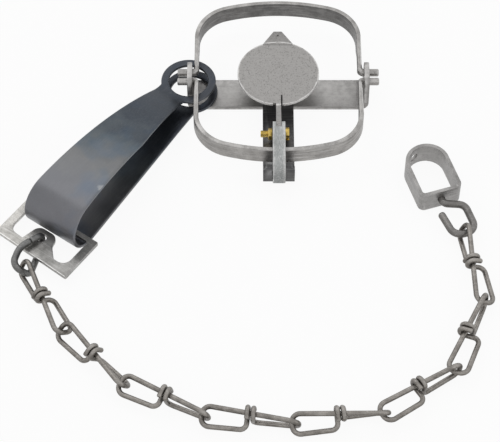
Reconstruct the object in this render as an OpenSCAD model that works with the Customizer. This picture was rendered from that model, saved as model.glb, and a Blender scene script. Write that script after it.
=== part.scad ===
// Long-spring foothold trap in its set position, with its knotted-wire chain laid out on the floor.
// The origin is under the middle of the base bar: X runs along the bar, Y away from the dog, Z up, in mm.

/* [Base] */
// Distance between the middles of the two uprights
base_span = 117.4; // [108:0.2:130]
// Width of the base bar
base_w = 23.4; // [21:0.2:25]
// Thickness of the base bar
base_t = 3.2; // [2.4:0.1:4]
// Inside radius of the bends in the base bar
bar_bend = 3; // [2:0.25:3.5]
// Height of the uprights
upright_h = 26.5; // [25:0.5:32]
// Width of an upright at its top
upright_top_w = 19; // [16:0.5:20]
// Corner radius at an upright's top
upright_corner = 4; // [1:0.5:6]

/* [Cross bar] */
// Width of the cross bar
cross_w = 20.5; // [18:0.5:24]
// Thickness of the cross bar
cross_t = 3; // [2.4:0.1:3.4]
// Reach of the cross bar past the middle of the base
cross_far = 12; // [10:0.5:18]
// Gap between the near jaw and the lug that holds the dog
lug_gap = 7.2; // [6.8:0.1:9]
// Height of the lug above the cross bar
lug_h = 12.4; // [12:0.2:13.5]
// Height of the bar over the lug's slot
lug_bar = 3; // [2.4:0.1:3.2]
// Corner radius at the lug's top
lug_corner = 2.5; // [0.5:0.5:5]
// Inside radius of the bend under the lug
lug_bend = 2; // [1:0.25:3]
// Outside radius of the bend under the lug
lug_heel = 1.5; // [0.5:0.25:3]
// Play between the dog and each side of the slot
slot_play = 0.5; // [0.3:0.1:1]
// Radius of the rivets' shanks
rivet_r = 2.4; // [1.6:0.1:3]
// Radius of the rivets' heads
rivet_head_r = 3.8; // [3.4:0.1:4.2]
// Height of the rivets' heads
rivet_head_h = 1.5; // [1:0.1:2]
// Distance of each cross rivet from the middle
rivet_x = 5.4; // [4.6:0.1:6]
// Radial clearance round rivets and the pan bolt
seat_fit = 0.05; // [0.02:0.01:0.1]

/* [Jaws] */
// Height of the jaws' pivots
pivot_z = 20; // [19.5:0.25:22]
// Distance of each pivot from the middle of the base
pivot_y = 3.8; // [3.7:0.1:5]
// Radius of the jaws' pins
pin_r = 2.5; // [2:0.1:2.8]
// Radial clearance of a pin in its hole
pin_fit = 0.08; // [0.03:0.01:0.1]
// Length of a pin outside its upright
pin_out = 6.5; // [4:0.5:8]
// Thickness of the jaws' band
jaw_t = 3; // [2.4:0.1:3.6]
// Height of the band above the pivot line
jaw_up = 3.6; // [3.2:0.1:3.65]
// Depth of the band below the pivot line
jaw_down = 8.8; // [7:0.2:10]
// Gap between a jaw's leg and its upright
jaw_side = 1.4; // [0.8:0.1:2]
// Reach of a jaw from its pivot to the outside of its arch
jaw_reach = 60.6; // [56:0.2:66]
// Outside radius of the arch's corners
jaw_corner = 28; // [20:0.5:34]
// Outside radius of the arch's crown
jaw_crown = 130; // [110:1:200]
// Depth of a leg's neck below the pivot line
neck_down = 2.6; // [2.5:0.1:3]
// Length of a leg's neck from the pivot
neck_len = 15; // [13:0.5:18]
// Length over which the neck widens into the band
neck_taper = 10; // [6:0.5:12]

/* [Pan] */
// Radius of the pan
pan_r = 27; // [24:0.5:30]
// Thickness of the pan's sheet
pan_t = 1.8; // [1.2:0.1:2.4]
// Distance of the pan's middle past the base's middle
pan_y = 0.5; // [0:0.1:1]
// Height of the pan's top
pan_z = 24; // [23:0.25:26]
// Width of the far tab where it leaves the pan
tab_w = 20; // [14:0.5:24]
// Width of the far tab at its end
tab_end_w = 5.4; // [4:0.2:8]
// Length of the far tab
tab_len = 17; // [10:0.2:18]
// Slope of the far tab
tab_slope = 20; // [10:1:30]
// Radius of the hole in the far tab
tab_hole_r = 0.9; // [0.5:0.1:1.2]
// Distance of that hole from the tab's fold
tab_hole_at = 11.5; // [6:0.5:13]
// Width of the slit on the right of the shank
slit_w = 1; // [0.6:0.1:1.6]
// Length of the slit on the right of the shank
slit_len = 8.3; // [3:0.1:9]
// Width of the notch on the left of the shank
notch_w = 2; // [1:0.1:4]
// Depth of the notch on the left of the shank
notch_len = 1.2; // [1:0.1:5]
// Thickness of the pan's folded shank
shank_t = 3.2; // [2.4:0.1:3.6]
// Distance from the pan's near edge to its bolt
bolt_gap = 15.9; // [14:0.1:17]
// Height of the pan's bolt
bolt_z = 13; // [12.8:0.1:14]
// Radius of the pan's bolt
bolt_r = 2.1; // [1.6:0.1:2.4]
// Radius of the shank round the bolt
shank_eye = 3.8; // [3.2:0.1:4]
// Length of the shank's foot under the pan
shank_foot = 14; // [10:0.5:18]
// Depth of the shank where it leaves the pan
shank_depth = 4.5; // [3:0.1:6]
// Reach of the shank's catch past the dog's tip, towards the pan
catch_len = 3; // [2:0.25:4]
// Reach of the catch under the dog's tip
catch_lap = 1.2; // [0.8:0.1:1.6]
// Height of the catch's upright edge
catch_h = 3; // [2:0.25:4]
// Radius of the bolt's head
bolt_head_r = 4.4; // [3.4:0.1:4.4]
// Height of the bolt's head
bolt_head_h = 2.9; // [2:0.1:3.5]
// Width of the nut across its flats
nut_w = 7; // [5.5:0.1:8]
// Height of the nut
nut_h = 2.8; // [2:0.1:3.5]
// Length of the bolt that stands out of the nut
bolt_out = 5; // [1:0.5:6]
// Width of the slot in the bolt's head
bolt_slot = 1.2; // [0.8:0.1:1.6]
// Thickness of the sheet of the pan's post
post_t = 2; // [1.6:0.1:2.4]
// Length of the post's foot in front of its ears
post_foot = 12; // [10:0.5:13]
// Half width of the post's ears
ear_r = 4.6; // [4:0.1:5]
// Play between the shank and each ear
shank_play = 0.4; // [0.3:0.05:0.6]
// Gap between the dog's tip and the pan's catch
catch_gap = 0.5; // [0.4:0.05:0.8]

/* [Dog] */
// Width of the dog
dog_w = 8.2; // [7:0.1:9]
// Thickness of the dog
dog_t = 3; // [2.4:0.1:3.2]
// Gap between the dog's return and the lug's bar
dog_under = 1; // [0.8:0.1:1.2]
// Gap between the dog's outer strand and the lug
dog_outside = 5.9; // [5.5:0.1:6.5]
// Reach of the dog's return past the lug's middle
dog_return = 3.5; // [2.8:0.1:4]
// Inside radius of the bend under the dog's outer strand
dog_heel = 1; // [0.8:0.1:1.2]
// Height of the jaws' top above the dog's shoulder
dog_shoulder = 5.5; // [5:0.1:5.6]
// Rise of the dog's run from the shoulder to the crown
dog_rise = 17; // [17:0.5:19]
// Reach from the hinge to the start of the dog's crown
dog_crown_at = 14.5; // [14.5:0.1:15]
// Reach from the hinge to the dog's tip
dog_tip_at = 24.6; // [24:0.1:26]
// Mid-thickness radius of the dog's crown
dog_crown = 22; // [21:0.5:24]
// Height of the shoulder's middle off the hinge line, along the dog
dog_offset = 0.1; // [0:0.05:0.2]
// Gap between the dog's outer end and the floor of the slot
slot_under = 1; // [0.8:0.1:1.2]
// Reach of the slot into the cross bar from the lug's middle
slot_reach = 6.5; // [6:0.25:8]
// Width of the notch in the dog's tip
fork_w = 3.4; // [2.4:0.1:4]
// Depth of the notch in the dog's tip
fork_l = 4; // [2:0.25:5]

/* [Spring] */
// Thickness of the spring
spring_t = 2.2; // [1.8:0.1:2.4]
// Angle that the spring is swung from the base towards the dog
spring_swing = 54.5; // [0:0.5:58]
// Play between an eye and the upright inside it
eye_play = 1.5; // [1.3:0.1:2]
// Width of the rim of an eye
eye_rim = 5; // [4:0.25:6]
// Sideways shift of the upper eye
eye_shift = -1.2; // [-1.2:0.1:0]
// Gap between the lower eye and the base bar
eye_seat = 0.3; // [0.2:0.05:0.6]
// Gap between the upper eye and the jaws' necks
eye_drop = 1.7; // [1.5:0.1:2]
// Reach of the flat of the upper eye
flat_up = 14; // [13:0.5:16]
// Reach of the flat of the lower eye
flat_down = 32; // [24:0.5:40]
// Mid-thickness radius where the flats turn into the leaves
flat_bend = 16; // [10:0.5:24]
// Slope at which the upper leaf leaves its eye
leaf_slope = 25.5; // [25:0.25:28]
// Height of the upper leaf's hump at mid-thickness
hump_z = 37; // [35:0.25:39]
// Fall of the upper leaf from its hump to the bend
leaf_fall = 5; // [2:0.5:8]
// Width of the spring at its eyes
leaf_near_w = 25; // [20:0.2:25]
// Width of the spring at its bend
leaf_far_w = 39.8; // [34:0.2:40]
// How far the upper leaf's near edge is drawn in at its eye
waist_in = 8.3; // [0:0.1:9]
// Length over which the upper leaf's near edge is drawn in
waist_len = 70; // [60:1:90]
// Gap between the two leaves at the nose of the bend
leaf_split = 0.3; // [0.2:0.05:0.5]

/* [Chain plate] */
// Thickness of the chain plate
plate_t = 2.4; // [1.6:0.1:2.8]
// Width of the chain plate's bars
plate_bar = 5.8; // [4:0.1:6]
// Width of the chain plate's outer bar
plate_outer = 6.5; // [5:0.1:7]
// Play between the spring and the two arms together
plate_play = 7; // [5:0.25:8]
// Sideways shift of the chain plate on the spring
plate_shift = -2.2; // [-2.2:0.1:0]
// Distance of the plate's inner edge from the middle of the bend
plate_back = 4; // [0:0.1:4.2]
// Width of the plate's bar inside the bend
plate_inner = 3.4; // [3:0.1:3.6]
// How much longer the plate is on its near side
plate_skew = 2.5; // [0:0.1:3]
// Radius of the plate's outer corners
plate_corner = 1; // [0.5:0.25:3]
// Radius of the opening's corners inside the bend
plate_nook = 2; // [1:0.25:3]
// Radius of the opening's corners at the outer bar
plate_round = 6; // [3:0.25:7]
// Gap between the spring's nose and the outer bar
plate_gap = 9.7; // [9:0.1:14]
// Height of the plate at the middle of the bend
plate_z = 5.6; // [5.5:0.1:6]
// Upward tilt of the plate
plate_tilt = 1.5; // [1:0.25:2]
// Sideways place of the tongue on the plate
tongue_y = -2.3; // [-4:0.1:4]
// Distance of the tongue's head past its hole
tongue_head = 6.2; // [5.8:0.1:6.3]
// Width of the tongue's head on the far side of its hole
tongue_far = 7; // [6:0.1:8]
// Width of the tongue's head on the near side of its hole
tongue_near = 8; // [6:0.1:9]
// Width of the tongue's foot on the far side of its hole
tongue_far_foot = 10.4; // [8:0.1:11]
// Width of the tongue's foot on the near side of its hole
tongue_near_foot = 17; // [12:0.1:17.5]
// Width of the tongue on the near side of its hole where its flare starts
tongue_side = 9.6; // [8:0.1:11]
// Length of the flare at the tongue's foot on the near side
tongue_flare = 5; // [4:0.1:6]
// Corner radius of the tongue's head
tongue_round = 5.5; // [4:0.1:6]
// Distance of the tongue's hole from the outer bar
tongue_hole_at = 6.5; // [5.5:0.1:6.8]
// Play of the connecting link in the tongue's hole
link_play = 0.9; // [0.6:0.05:1]

/* [Chain] */
// Diameter of the connecting link's wire
link_d = 4.4; // [3.6:0.1:4.5]
// Distance from the tongue's hole to the connecting link's outer end
link_len = 28.7; // [28:0.1:32]
// Turn of the connecting link from the spring's line
link_turn = 15.5; // [12:0.5:18]
// How far the connecting link's outer end leans out at its top and in at its foot
link_lean = 0.9; // [0:0.1:1.5]
// Sideways reach of the outer end's top
link_top_side = 6.6; // [6:0.1:7]
// Height of the outer end's top over the chain's middle line
link_top_rise = 5.7; // [5.4:0.1:6]
// Sideways reach of the outer end's foot
link_foot_side = 3.4; // [3:0.1:4]
// Depth of the outer end's foot under the chain's middle line
link_foot_drop = 3.5; // [3.2:0.1:3.6]
// Distance of the lower strand's knee past the plate's outer edge
link_knee_past = 1; // [0.5:0.1:2]
// Bend radius in the tongue's hole
link_hole_bend = 3.6; // [3.4:0.1:4]
// Bend radius at the knee
link_knee_bend = 8; // [6:0.5:9]
// Bend radius at the outer end
link_end_bend = 5; // [4.6:0.1:5.4]
// Bend radius of the upper strand
link_side_bend = 16; // [12:0.5:18]
// Distance of the first joint back from the outer end's middle
link_joint_back = 1.3; // [1:0.1:1.5]
// Sideways place of the first joint
link_joint_side = 1; // [0.5:0.1:1.5]
// Bulge of the connecting link's upper strand
link_bulge = 8.4; // [6:0.1:9]
// Gap between the connecting link and the plate's outer bar
link_over = 0.5; // [0.4:0.05:0.8]
// Gap between the connecting link and the floor
link_under = 0.2; // [0.1:0.05:0.4]
// Diameter of the chain's wire
wire_d = 3.2; // [2.6:0.1:3.2]
// Distance from one joint of the chain to the next
chain_pitch = 54; // [50:0.5:60]
// Width of a chain loop between wire middles
loop_w = 12.7; // [12.2:0.1:14]
// Gap between two hooked chain loops
loop_gap = 0.8; // [0.7:0.05:1]
// Gap between a link's spine and the wire wrapped round it
wrap_gap = 0.2; // [0.2:0.05:0.4]
// Distance of each wrap from a link's middle
wrap_at = 1.792; // [1.7:0.01:2]
// Length of the wrap's free end
wrap_tail = 4.48; // [4:0.1:5]
// Bend radius of the wraps
wrap_bend = 3; // [2.8:0.1:3.2]
// Bend radius from a loop into its wrap
wrap_in_bend = 4; // [3.5:0.1:4.5]
// Bend radius of the loops
loop_bend = 5; // [4.5:0.1:5.5]
// Height of the chain's middle line
chain_z = 8.1; // [8:0.05:9]

/* [Swivel] */
// Diameter of the swivel hook's wire
hook_d = 4.8; // [4:0.1:5]
// Distance from the swivel box to the hook's far end
hook_len = 30; // [28:0.5:34]
// Width of the hook between wire middles
hook_w = 15; // [14:0.5:18]
// Length of the hook's straight neck outside the box
hook_neck = 4; // [3:0.25:5]
// Length of the hook's neck and slope together
hook_slope = 9; // [8:0.5:10]
// Gap between the box and the hook's free end
hook_mouth = 11; // [10:0.5:14]
// Share of the hook's width on the far side of its neck
hook_share = 0.8333; // [0.7:0.0001:0.9]
// Sideways place of the hook's free end
hook_end_side = 4.5; // [3:0.1:5]
// Sideways place of the chain's joint in the hook
hook_joint_side = 5; // [4:0.1:6]
// Bend radius from the neck into the slope
hook_neck_bend = 4; // [3:0.1:5]
// Bend radius from the slope into the hook's long side
hook_slope_bend = 6; // [5:0.1:7]
// Bend radius of the hook's far end
hook_bend = 7; // [6:0.1:7.4]
// Radius of the hook's head
hook_head_r = 4.4; // [4:0.1:5]
// Height of the hook's head
hook_head_h = 2.6; // [2:0.1:4]
// Radial clearance of the hook in the box
hook_fit = 0.1; // [0.05:0.01:0.1]
// Direction from the hook to the box
box_heading = 108; // [100:1:110]
// Length of the swivel box
box_len = 40; // [36:0.5:44]
// Width of the swivel box
box_w = 28.5; // [26:0.5:32]
// Thickness of the swivel box's strap
strap_t = 2.2; // [1.6:0.1:2.6]
// Width of the swivel box's strap
strap_w = 15.6; // [13:0.2:15.6]
// Outside radius of the box's corners at the hook
box_corner = 4; // [3:0.25:6]
// Radius of the hole in the box's arch
anchor_r = 3; // [2:0.1:4]
// Turn of the arch's hole from the middle of the arch
anchor_turn = 25; // [0:1:30]

/* [Hidden] */
$fn = 64;
eps = 0.01;
corner_steps = 6;
// Largest turn between two points of a bent strip's outline
bend_step = 3;
// How far a wire's straight runs reach into its bends, and how much thicker the bends are than the runs
run_in = 0.2;
bend_over = 0.06;
// Headings of the chain's links from the connecting link to the swivel, and the roll of each
chain_headings = [-60, -45, -24, -6, 8, 34, 68, 100];
chain_rolls = [-15, 9, 30, 27, 12, 40, 48, 20];
chain_count = len(chain_headings);

// Base and cross bar
upright_x = base_span / 2;
cross_top = base_t + cross_t;
rivet_sink_h = base_t / 2;
jaw_top = pivot_z + jaw_up;
jaw_face = -pivot_y - jaw_reach;
lug_y = jaw_face - lug_gap - cross_t;
lug_top = cross_top + lug_h;
hinge_y = lug_y + cross_t / 2;
hinge_z = lug_top - lug_bar / 2;

// Jaws
jaw_x = upright_x - base_t / 2 - jaw_side;
neck_r = (jaw_up + neck_down) / 2;
corner_x = jaw_x - jaw_corner;
crown_y = jaw_reach - jaw_crown;
corner_y = crown_y + sqrt(pow(jaw_crown - jaw_corner, 2) - pow(corner_x, 2));
crown_half = asin(corner_x / (jaw_crown - jaw_corner));

// Dog, in the plane of its hinge: first reach from the hinge, then height over it
dog_corner = dog_t / 2 + dog_heel;
dog_strand = cross_t / 2 + dog_outside + dog_t / 2;
dog_drop = lug_bar / 2 + dog_under + dog_t / 2;
shoulder_z = jaw_top - hinge_z - dog_shoulder;
shoulder_r = dog_strand + dog_offset;
shoulder_end = [dog_offset - shoulder_r * sin(dog_rise), shoulder_z + shoulder_r * cos(dog_rise)];
crown_start = [dog_crown_at, shoulder_end.y + (dog_crown_at - shoulder_end.x) * tan(dog_rise)];
crown_mid = crown_start + dog_crown * [sin(dog_rise), -cos(dog_rise)];
crown_fall = asin((dog_tip_at - crown_mid.x) / dog_crown);
dog_path = [
    [dog_return + dog_strand - dog_corner, 0],
    [dog_corner, -90],
    [shoulder_z + dog_drop - dog_corner, 0],
    [shoulder_r, dog_rise - 90],
    [(crown_start.x - shoulder_end.x) / cos(dog_rise), 0],
    [dog_crown, -dog_rise - crown_fall]
];
dog_swing = norm([dog_offset, shoulder_z]) + shoulder_r + dog_t / 2;
slot_floor = hinge_z - dog_swing - slot_under;
tip_y = hinge_y + dog_tip_at;
tip_under = hinge_z + crown_mid.y + (dog_crown - dog_t / 2) * cos(crown_fall);

// Pan
bolt_y = pan_y - pan_r - bolt_gap;
ear_x = shank_t / 2 + shank_play;
ear_out = ear_x + post_t;
catch_top = tip_under - catch_gap;
post_rivet_y = bolt_y - ear_r - post_foot / 2;
tab_fold = sqrt(pow(pan_r, 2) - pow(tab_w / 2, 2));

// Spring, in its own plane: first reach from the swivel axis, then height
eye_in = base_w / 2 + eye_play;
eye_out = eye_in + eye_rim;
low_z = base_t + eye_seat + spring_t / 2;
high_z = pivot_z - neck_down - eye_drop - spring_t / 2;
climb_at = [flat_up + flat_bend * sin(leaf_slope), high_z + flat_bend * (1 - cos(leaf_slope))];
bow_r = (hump_z - climb_at.y) / (1 - cos(leaf_slope));
bend_start = climb_at + bow_r * [sin(leaf_slope) + sin(leaf_fall), cos(leaf_fall) - cos(leaf_slope)];
bend_r = (bend_start.y - spring_t / 2) / (1 + cos(leaf_fall));
bend_mid = bend_start - bend_r * [sin(leaf_fall), cos(leaf_fall)];
split_turn = asin(leaf_split / 2 / bend_r);
nose = bend_mid.x + bend_r + spring_t / 2;
// The lower leaf's run is the line that touches both of its bends
low_span = [bend_mid.x - flat_down, bend_mid.y - low_z + flat_bend];
low_fall = asin((flat_bend + bend_r) / norm(low_span)) - atan2(low_span.y, low_span.x);
low_run = sqrt(low_span * low_span - pow(flat_bend + bend_r, 2));

// Chain plate, on the spring's own axes
plate_edge = plate_back + plate_inner;
plate_out = nose - bend_mid.x + plate_gap + plate_outer;
plate_half = leaf_far_w / 2 + plate_play / 2;
hole_x = plate_out - plate_outer - tongue_hole_at;
hole_r = link_d / 2 + link_play;
hole_at = [bend_mid.x + hole_x * cos(plate_tilt), plate_shift + tongue_y, 0];

// Connecting link: its own axes start over the tongue's hole
link_low = link_d / 2 + link_under;
link_high = plate_z + plate_out * sin(plate_tilt) + plate_t / 2 + link_d / 2 + link_over;
link_hole = [0, 0, link_high];
link_end_high = [link_len + link_lean, -link_top_side, chain_z + link_top_rise];
link_end_low = [link_len - link_lean, link_foot_side, chain_z - link_foot_drop];
link_knee = [plate_outer + tongue_hole_at + link_knee_past, link_end_low.y / 2, link_low + eps];
link_side = [link_len / 2, -link_bulge, (link_high + link_end_high.z) / 2];
link_path = [
    link_hole,
    [0, 0, link_low],
    link_knee,
    link_end_low,
    link_end_high,
    link_side
];
link_bends = [link_hole_bend, link_hole_bend, link_knee_bend, link_end_bend, link_end_bend, link_side_bend];

// Chain
wire_reach = (wire_d + loop_gap) / 2;
link_joint = link_len - (link_d + wire_d) / 2 - loop_gap + wire_reach - link_joint_back;
chain_start = spring_point(hole_at + turned([link_joint, -link_joint_side, chain_z], link_turn));
hook_heading = box_heading - 180;
hook_joint = hook_len - (hook_d + wire_d) / 2 - loop_gap + wire_reach;
hook_at = chain_joint(chain_count) - turned([hook_joint, hook_joint_side, 0], hook_heading);

// Vectors and places
function unit(v) = v / norm(v);
function lerp(a, b, share) = a + (b - a) * share;
function turned(v, a) = [v.x * cos(a) - v.y * sin(a), v.x * sin(a) + v.y * cos(a), v.z];
function spring_point(v) = [-upright_x, 0, 0] + turned(v, 180 + spring_swing);
function chain_joint(i) =
    i == 0 ? chain_start : chain_joint(i - 1) + chain_pitch * turned([1, 0, 0], chain_headings[i - 1]);

// Points round one corner of an outline, bent to radius r
function corner(a, b, c, r) =
    let (u = unit(a - b), v = unit(c - b), half = acos(u * v) / 2)
    let (middle = b + unit(u + v) * r / sin(half), start = b + u * r / tan(half) - middle)
    let (way = sign(cross(u, v)), sweep = 180 - 2 * half)
    r == 0 ? [b] : [
        for (i = [0:corner_steps])
            let (angle = -way * sweep * i / corner_steps)
            middle + [start.x * cos(angle) - start.y * sin(angle), start.x * sin(angle) + start.y * cos(angle)]
    ];

// A closed outline with each corner bent to its own radius
function rounded(points, radii) =
    let (n = len(points))
    [for (i = [0:n - 1]) each corner(points[(i + n - 1) % n], points[i], points[(i + 1) % n], radii[i])];

// A plate of thickness t that stands across X, drawn by its Y and Z outline, from x on
module standing(x, t) translate([x, 0, 0]) rotate([90, 0, 90]) linear_extrude(t) children();

// A rod along X
module rod_x(x, length, r) translate([x, 0, 0]) rotate([0, 90, 0]) cylinder(r = r, h = length);

// A quarter bend of a bar that lies along +X and turns up, its underside at Z = 0
module quarter_bend(w, t, r)
    translate([0, 0, r + t]) rotate([90, 0, 0]) rotate([0, 0, -90])
        rotate_extrude(angle = 90) translate([r, -w / 2]) square([t, w]);

// Points along a path of [length, 0] runs and [radius, turn] bends, left turns positive, each with its heading
function walk(path, i = 0, at = [0, 0], way = 0) =
    i == len(path) ? [[at.x, at.y, way]]
    : let (size = path[i][0], turn = path[i][1], steps = turn == 0 ? 1 : ceil(abs(turn) / bend_step))
      let (out = sign(turn) * size * [sin(way), -cos(way)])
      let (arc = [for (k = [0:steps]) let (a = way + turn * k / steps) sign(turn) * size * [sin(a), -cos(a)]])
      let (end = turn == 0 ? at + size * [cos(way), sin(way)] : at - out + arc[steps])
      concat(
          [for (k = [0:steps - 1]) [at.x - out.x + arc[k].x, at.y - out.y + arc[k].y, way + turn * k / steps]],
          walk(path, i + 1, end, way + turn)
      );

// A flat strip of thickness t and width w, bent along a path in the XY plane
module strip(path, t, w) {
    line = walk(path);
    last = len(line) - 1;
    translate([0, 0, -w / 2]) linear_extrude(w) polygon(concat(
        [for (p = line) [p.x - t / 2 * sin(p.z), p.y + t / 2 * cos(p.z)]],
        [for (i = [0:last]) let (p = line[last - i]) [p.x + t / 2 * sin(p.z), p.y - t / 2 * cos(p.z)]]
    ));
}

// A straight round rod from a to b
module rod(a, b, d) {
    way = b - a;
    translate(a) rotate([0, acos(way.z / norm(way)), atan2(way.y, way.x)]) cylinder(d = d, h = norm(way));
}

// The turn of a path at b, on its way from a to c
function turn_at(a, b, c) = acos(unit(b - a) * unit(c - b));

// A round elbow of radius r in the corner a, b, c
module elbow(a, b, c, r, d) {
    way_in = unit(b - a);
    axis = unit(cross(way_in, unit(c - b)));
    turn = turn_at(a, b, c);
    start = b - way_in * r * tan(turn / 2);
    middle = start + r * cross(axis, way_in);
    out = (start - middle) / r;
    multmatrix([
        [out.x, way_in.x, axis.x, middle.x],
        [out.y, way_in.y, axis.y, middle.y],
        [out.z, way_in.z, axis.z, middle.z]
    ]) rotate_extrude(angle = turn) translate([r, 0]) circle(d = d, $fn = 32);
}

// A round wire along straight runs, with bends[i] at the corner points[i + 1]
module wire(points, bends, d) {
    last = len(points) - 1;
    short = [for (i = [0:last]) i == 0 || i == last ? 0
        : bends[i - 1] * tan(turn_at(points[i - 1], points[i], points[i + 1]) / 2) - run_in];
    for (i = [0:last - 1]) {
        way = unit(points[i + 1] - points[i]);
        rod(points[i] + way * short[i], points[i + 1] - way * short[i + 1], d);
    }
    for (i = [1:last - 1]) elbow(points[i - 1], points[i], points[i + 1], bends[i - 1], d + bend_over);
}

// A closed round wire, with bends[i] at the corner points[i]
module ring(points, bends, d) {
    n = len(points);
    short = [for (i = [0:n - 1])
        bends[i] * tan(turn_at(points[(i + n - 1) % n], points[i], points[(i + 1) % n]) / 2) - run_in];
    for (i = [0:n - 1]) {
        way = unit(points[(i + 1) % n] - points[i]);
        rod(points[i] + way * short[i], points[(i + 1) % n] - way * short[(i + 1) % n], d);
        elbow(points[(i + n - 1) % n], points[i], points[(i + 1) % n], bends[i], d + bend_over);
    }
}

module spring_place() translate([-upright_x, 0, 0]) rotate([0, 0, 180 + spring_swing]) children();

// The plan of a leaf, wider towards the bend, its eye's end shifted sideways
module leaf_plan(shift, waist)
    translate([0, 0, -1]) linear_extrude(2 * hump_z)
        polygon([
            [0, shift - leaf_near_w / 2], [nose + 1, -leaf_far_w / 2], [nose + 1, leaf_far_w / 2],
            [waist_len, lerp(shift + leaf_near_w / 2, leaf_far_w / 2, waist_len / (nose + 1))],
            [0, shift + leaf_near_w / 2 - waist]
        ]);

// One leaf of the spring: a strip along a path from the eye, cut to its plan, with the eye round its start
module leaf(path, z, shift, waist) {
    difference() {
        union() {
            intersection() {
                translate([0, 0, z]) rotate([90, 0, 0]) strip(path, spring_t, leaf_far_w + 4);
                leaf_plan(shift, waist);
            }
            translate([0, shift, z - spring_t / 2]) cylinder(r = eye_out, h = spring_t);
        }
        translate([0, shift, z - spring_t]) cylinder(r = eye_in, h = 2 * spring_t);
    }
}

module base_frame() {
    color("dimgray") difference() {
        union() {
            flat = upright_x - base_t / 2 - bar_bend;
            translate([-flat, -base_w / 2, 0]) cube([2 * flat, base_w, base_t]);
            for (side = [0, 1]) mirror([side, 0, 0]) {
                translate([flat, 0, 0]) quarter_bend(base_w, base_t, bar_bend);
                standing(upright_x - base_t / 2, base_t) upright_outline();
            }
        }
        for (y = [-pivot_y, pivot_y])
            translate([0, y, pivot_z]) rod_x(-upright_x - base_t, 2 * upright_x + 2 * base_t, pin_r + pin_fit);
        for (x = [-rivet_x, rivet_x]) translate([x, 0, 0]) rivet_hole();
    }
}

module upright_outline() {
    foot = base_t + bar_bend;
    polygon(rounded(
        [[-base_w / 2, foot], [base_w / 2, foot], [upright_top_w / 2, upright_h], [-upright_top_w / 2, upright_h]],
        [0, 0, upright_corner, upright_corner]
    ));
}

// Shank hole and lower sink of a rivet through the base bar and the cross bar
module rivet_hole() {
    translate([0, 0, -1]) cylinder(r = rivet_r + seat_fit, h = cross_top + 2);
    translate([0, 0, -1]) cylinder(r = rivet_head_r + seat_fit, h = 1 + rivet_sink_h);
}

module cross_bar() {
    color("darkslategray") difference() {
        intersection() {
            standing(-cross_w / 2, cross_w) cross_outline();
            translate([0, lug_y - 1, 0]) rotate([0, 0, 90]) standing(0, cross_far - lug_y + 2) lug_outline();
        }
        translate([-dog_w / 2 - slot_play, lug_y - 1, slot_floor])
            cube([dog_w + 2 * slot_play, 1 + cross_t / 2 + slot_reach, lug_top - lug_bar - slot_floor]);
        for (x = [-rivet_x, rivet_x]) translate([x, 0, 0]) rivet_hole();
        translate([0, post_rivet_y, 0]) post_rivet_hole();
    }
}

// The cross bar and its lug from the side
module cross_outline()
    polygon(rounded(
        [[cross_far, base_t], [lug_y, base_t], [lug_y, lug_top], [lug_y + cross_t, lug_top],
         [lug_y + cross_t, cross_top], [cross_far, cross_top]],
        [0, lug_heel, 0, 0, lug_bend, 0]
    ));

// The cross bar and its lug from the front
module lug_outline() {
    foot = base_t - 1;
    polygon(rounded(
        [[-cross_w / 2, foot], [cross_w / 2, foot], [cross_w / 2, lug_top], [-cross_w / 2, lug_top]],
        [0, 0, lug_corner, lug_corner]
    ));
}

module cross_rivets() {
    color("gray") for (x = [-rivet_x, rivet_x]) translate([x, 0, 0]) {
        cylinder(r = rivet_head_r, h = rivet_sink_h);
        cylinder(r = rivet_r, h = cross_top + rivet_head_h / 2);
        translate([0, 0, cross_top]) cylinder(r1 = rivet_head_r, r2 = rivet_r, h = rivet_head_h);
    }
}

// Hole of the post's rivet, sunk from under the cross bar
module post_rivet_hole() {
    translate([0, 0, base_t - 1]) cylinder(r = rivet_r + seat_fit, h = cross_t + post_t + 2);
    translate([0, 0, base_t - 1]) cylinder(r = rivet_head_r + seat_fit, h = 1 + cross_t / 2);
}

module pan_post() {
    color("gray") difference() {
        union() {
            translate([-ear_out, bolt_y - ear_r - post_foot, cross_top])
                cube([2 * ear_out, post_foot + 2 * ear_r, post_t]);
            for (x = [-ear_out, ear_x]) {
                translate([x, bolt_y - ear_r, cross_top]) cube([post_t, 2 * ear_r, bolt_z - cross_top]);
                translate([0, bolt_y, bolt_z]) rod_x(x, post_t, ear_r);
            }
        }
        translate([0, bolt_y, bolt_z]) rod_x(-ear_out - 1, 2 * ear_out + 2, bolt_r + seat_fit);
        translate([0, post_rivet_y, 0]) post_rivet_hole();
    }
}

module post_rivet() {
    color("gray") translate([0, post_rivet_y, base_t]) {
        cylinder(r = rivet_head_r, h = cross_t / 2);
        cylinder(r = rivet_r, h = cross_t + post_t + rivet_head_h / 2);
        translate([0, 0, cross_t + post_t]) cylinder(r1 = rivet_head_r, r2 = rivet_r, h = rivet_head_h);
    }
}

module pan_bolt() {
    color("goldenrod") translate([0, bolt_y, bolt_z]) difference() {
        union() {
            rod_x(-ear_out - nut_h - bolt_out, 2 * ear_out + nut_h + bolt_out + eps, bolt_r);
            rod_x(ear_out, bolt_head_h, bolt_head_r);
        }
        translate([ear_out + bolt_head_h / 2, -bolt_head_r - 1, -bolt_slot / 2])
            cube([bolt_head_h, 2 * bolt_head_r + 2, bolt_slot]);
    }
}

module pan_nut() {
    color("goldenrod") translate([0, bolt_y, bolt_z]) difference() {
        translate([-ear_out - nut_h, 0, 0]) rotate([0, 90, 0]) cylinder(d = nut_w / cos(30), h = nut_h, $fn = 6);
        rod_x(-ear_out - nut_h - 1, nut_h + 2, bolt_r + seat_fit);
    }
}

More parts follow.
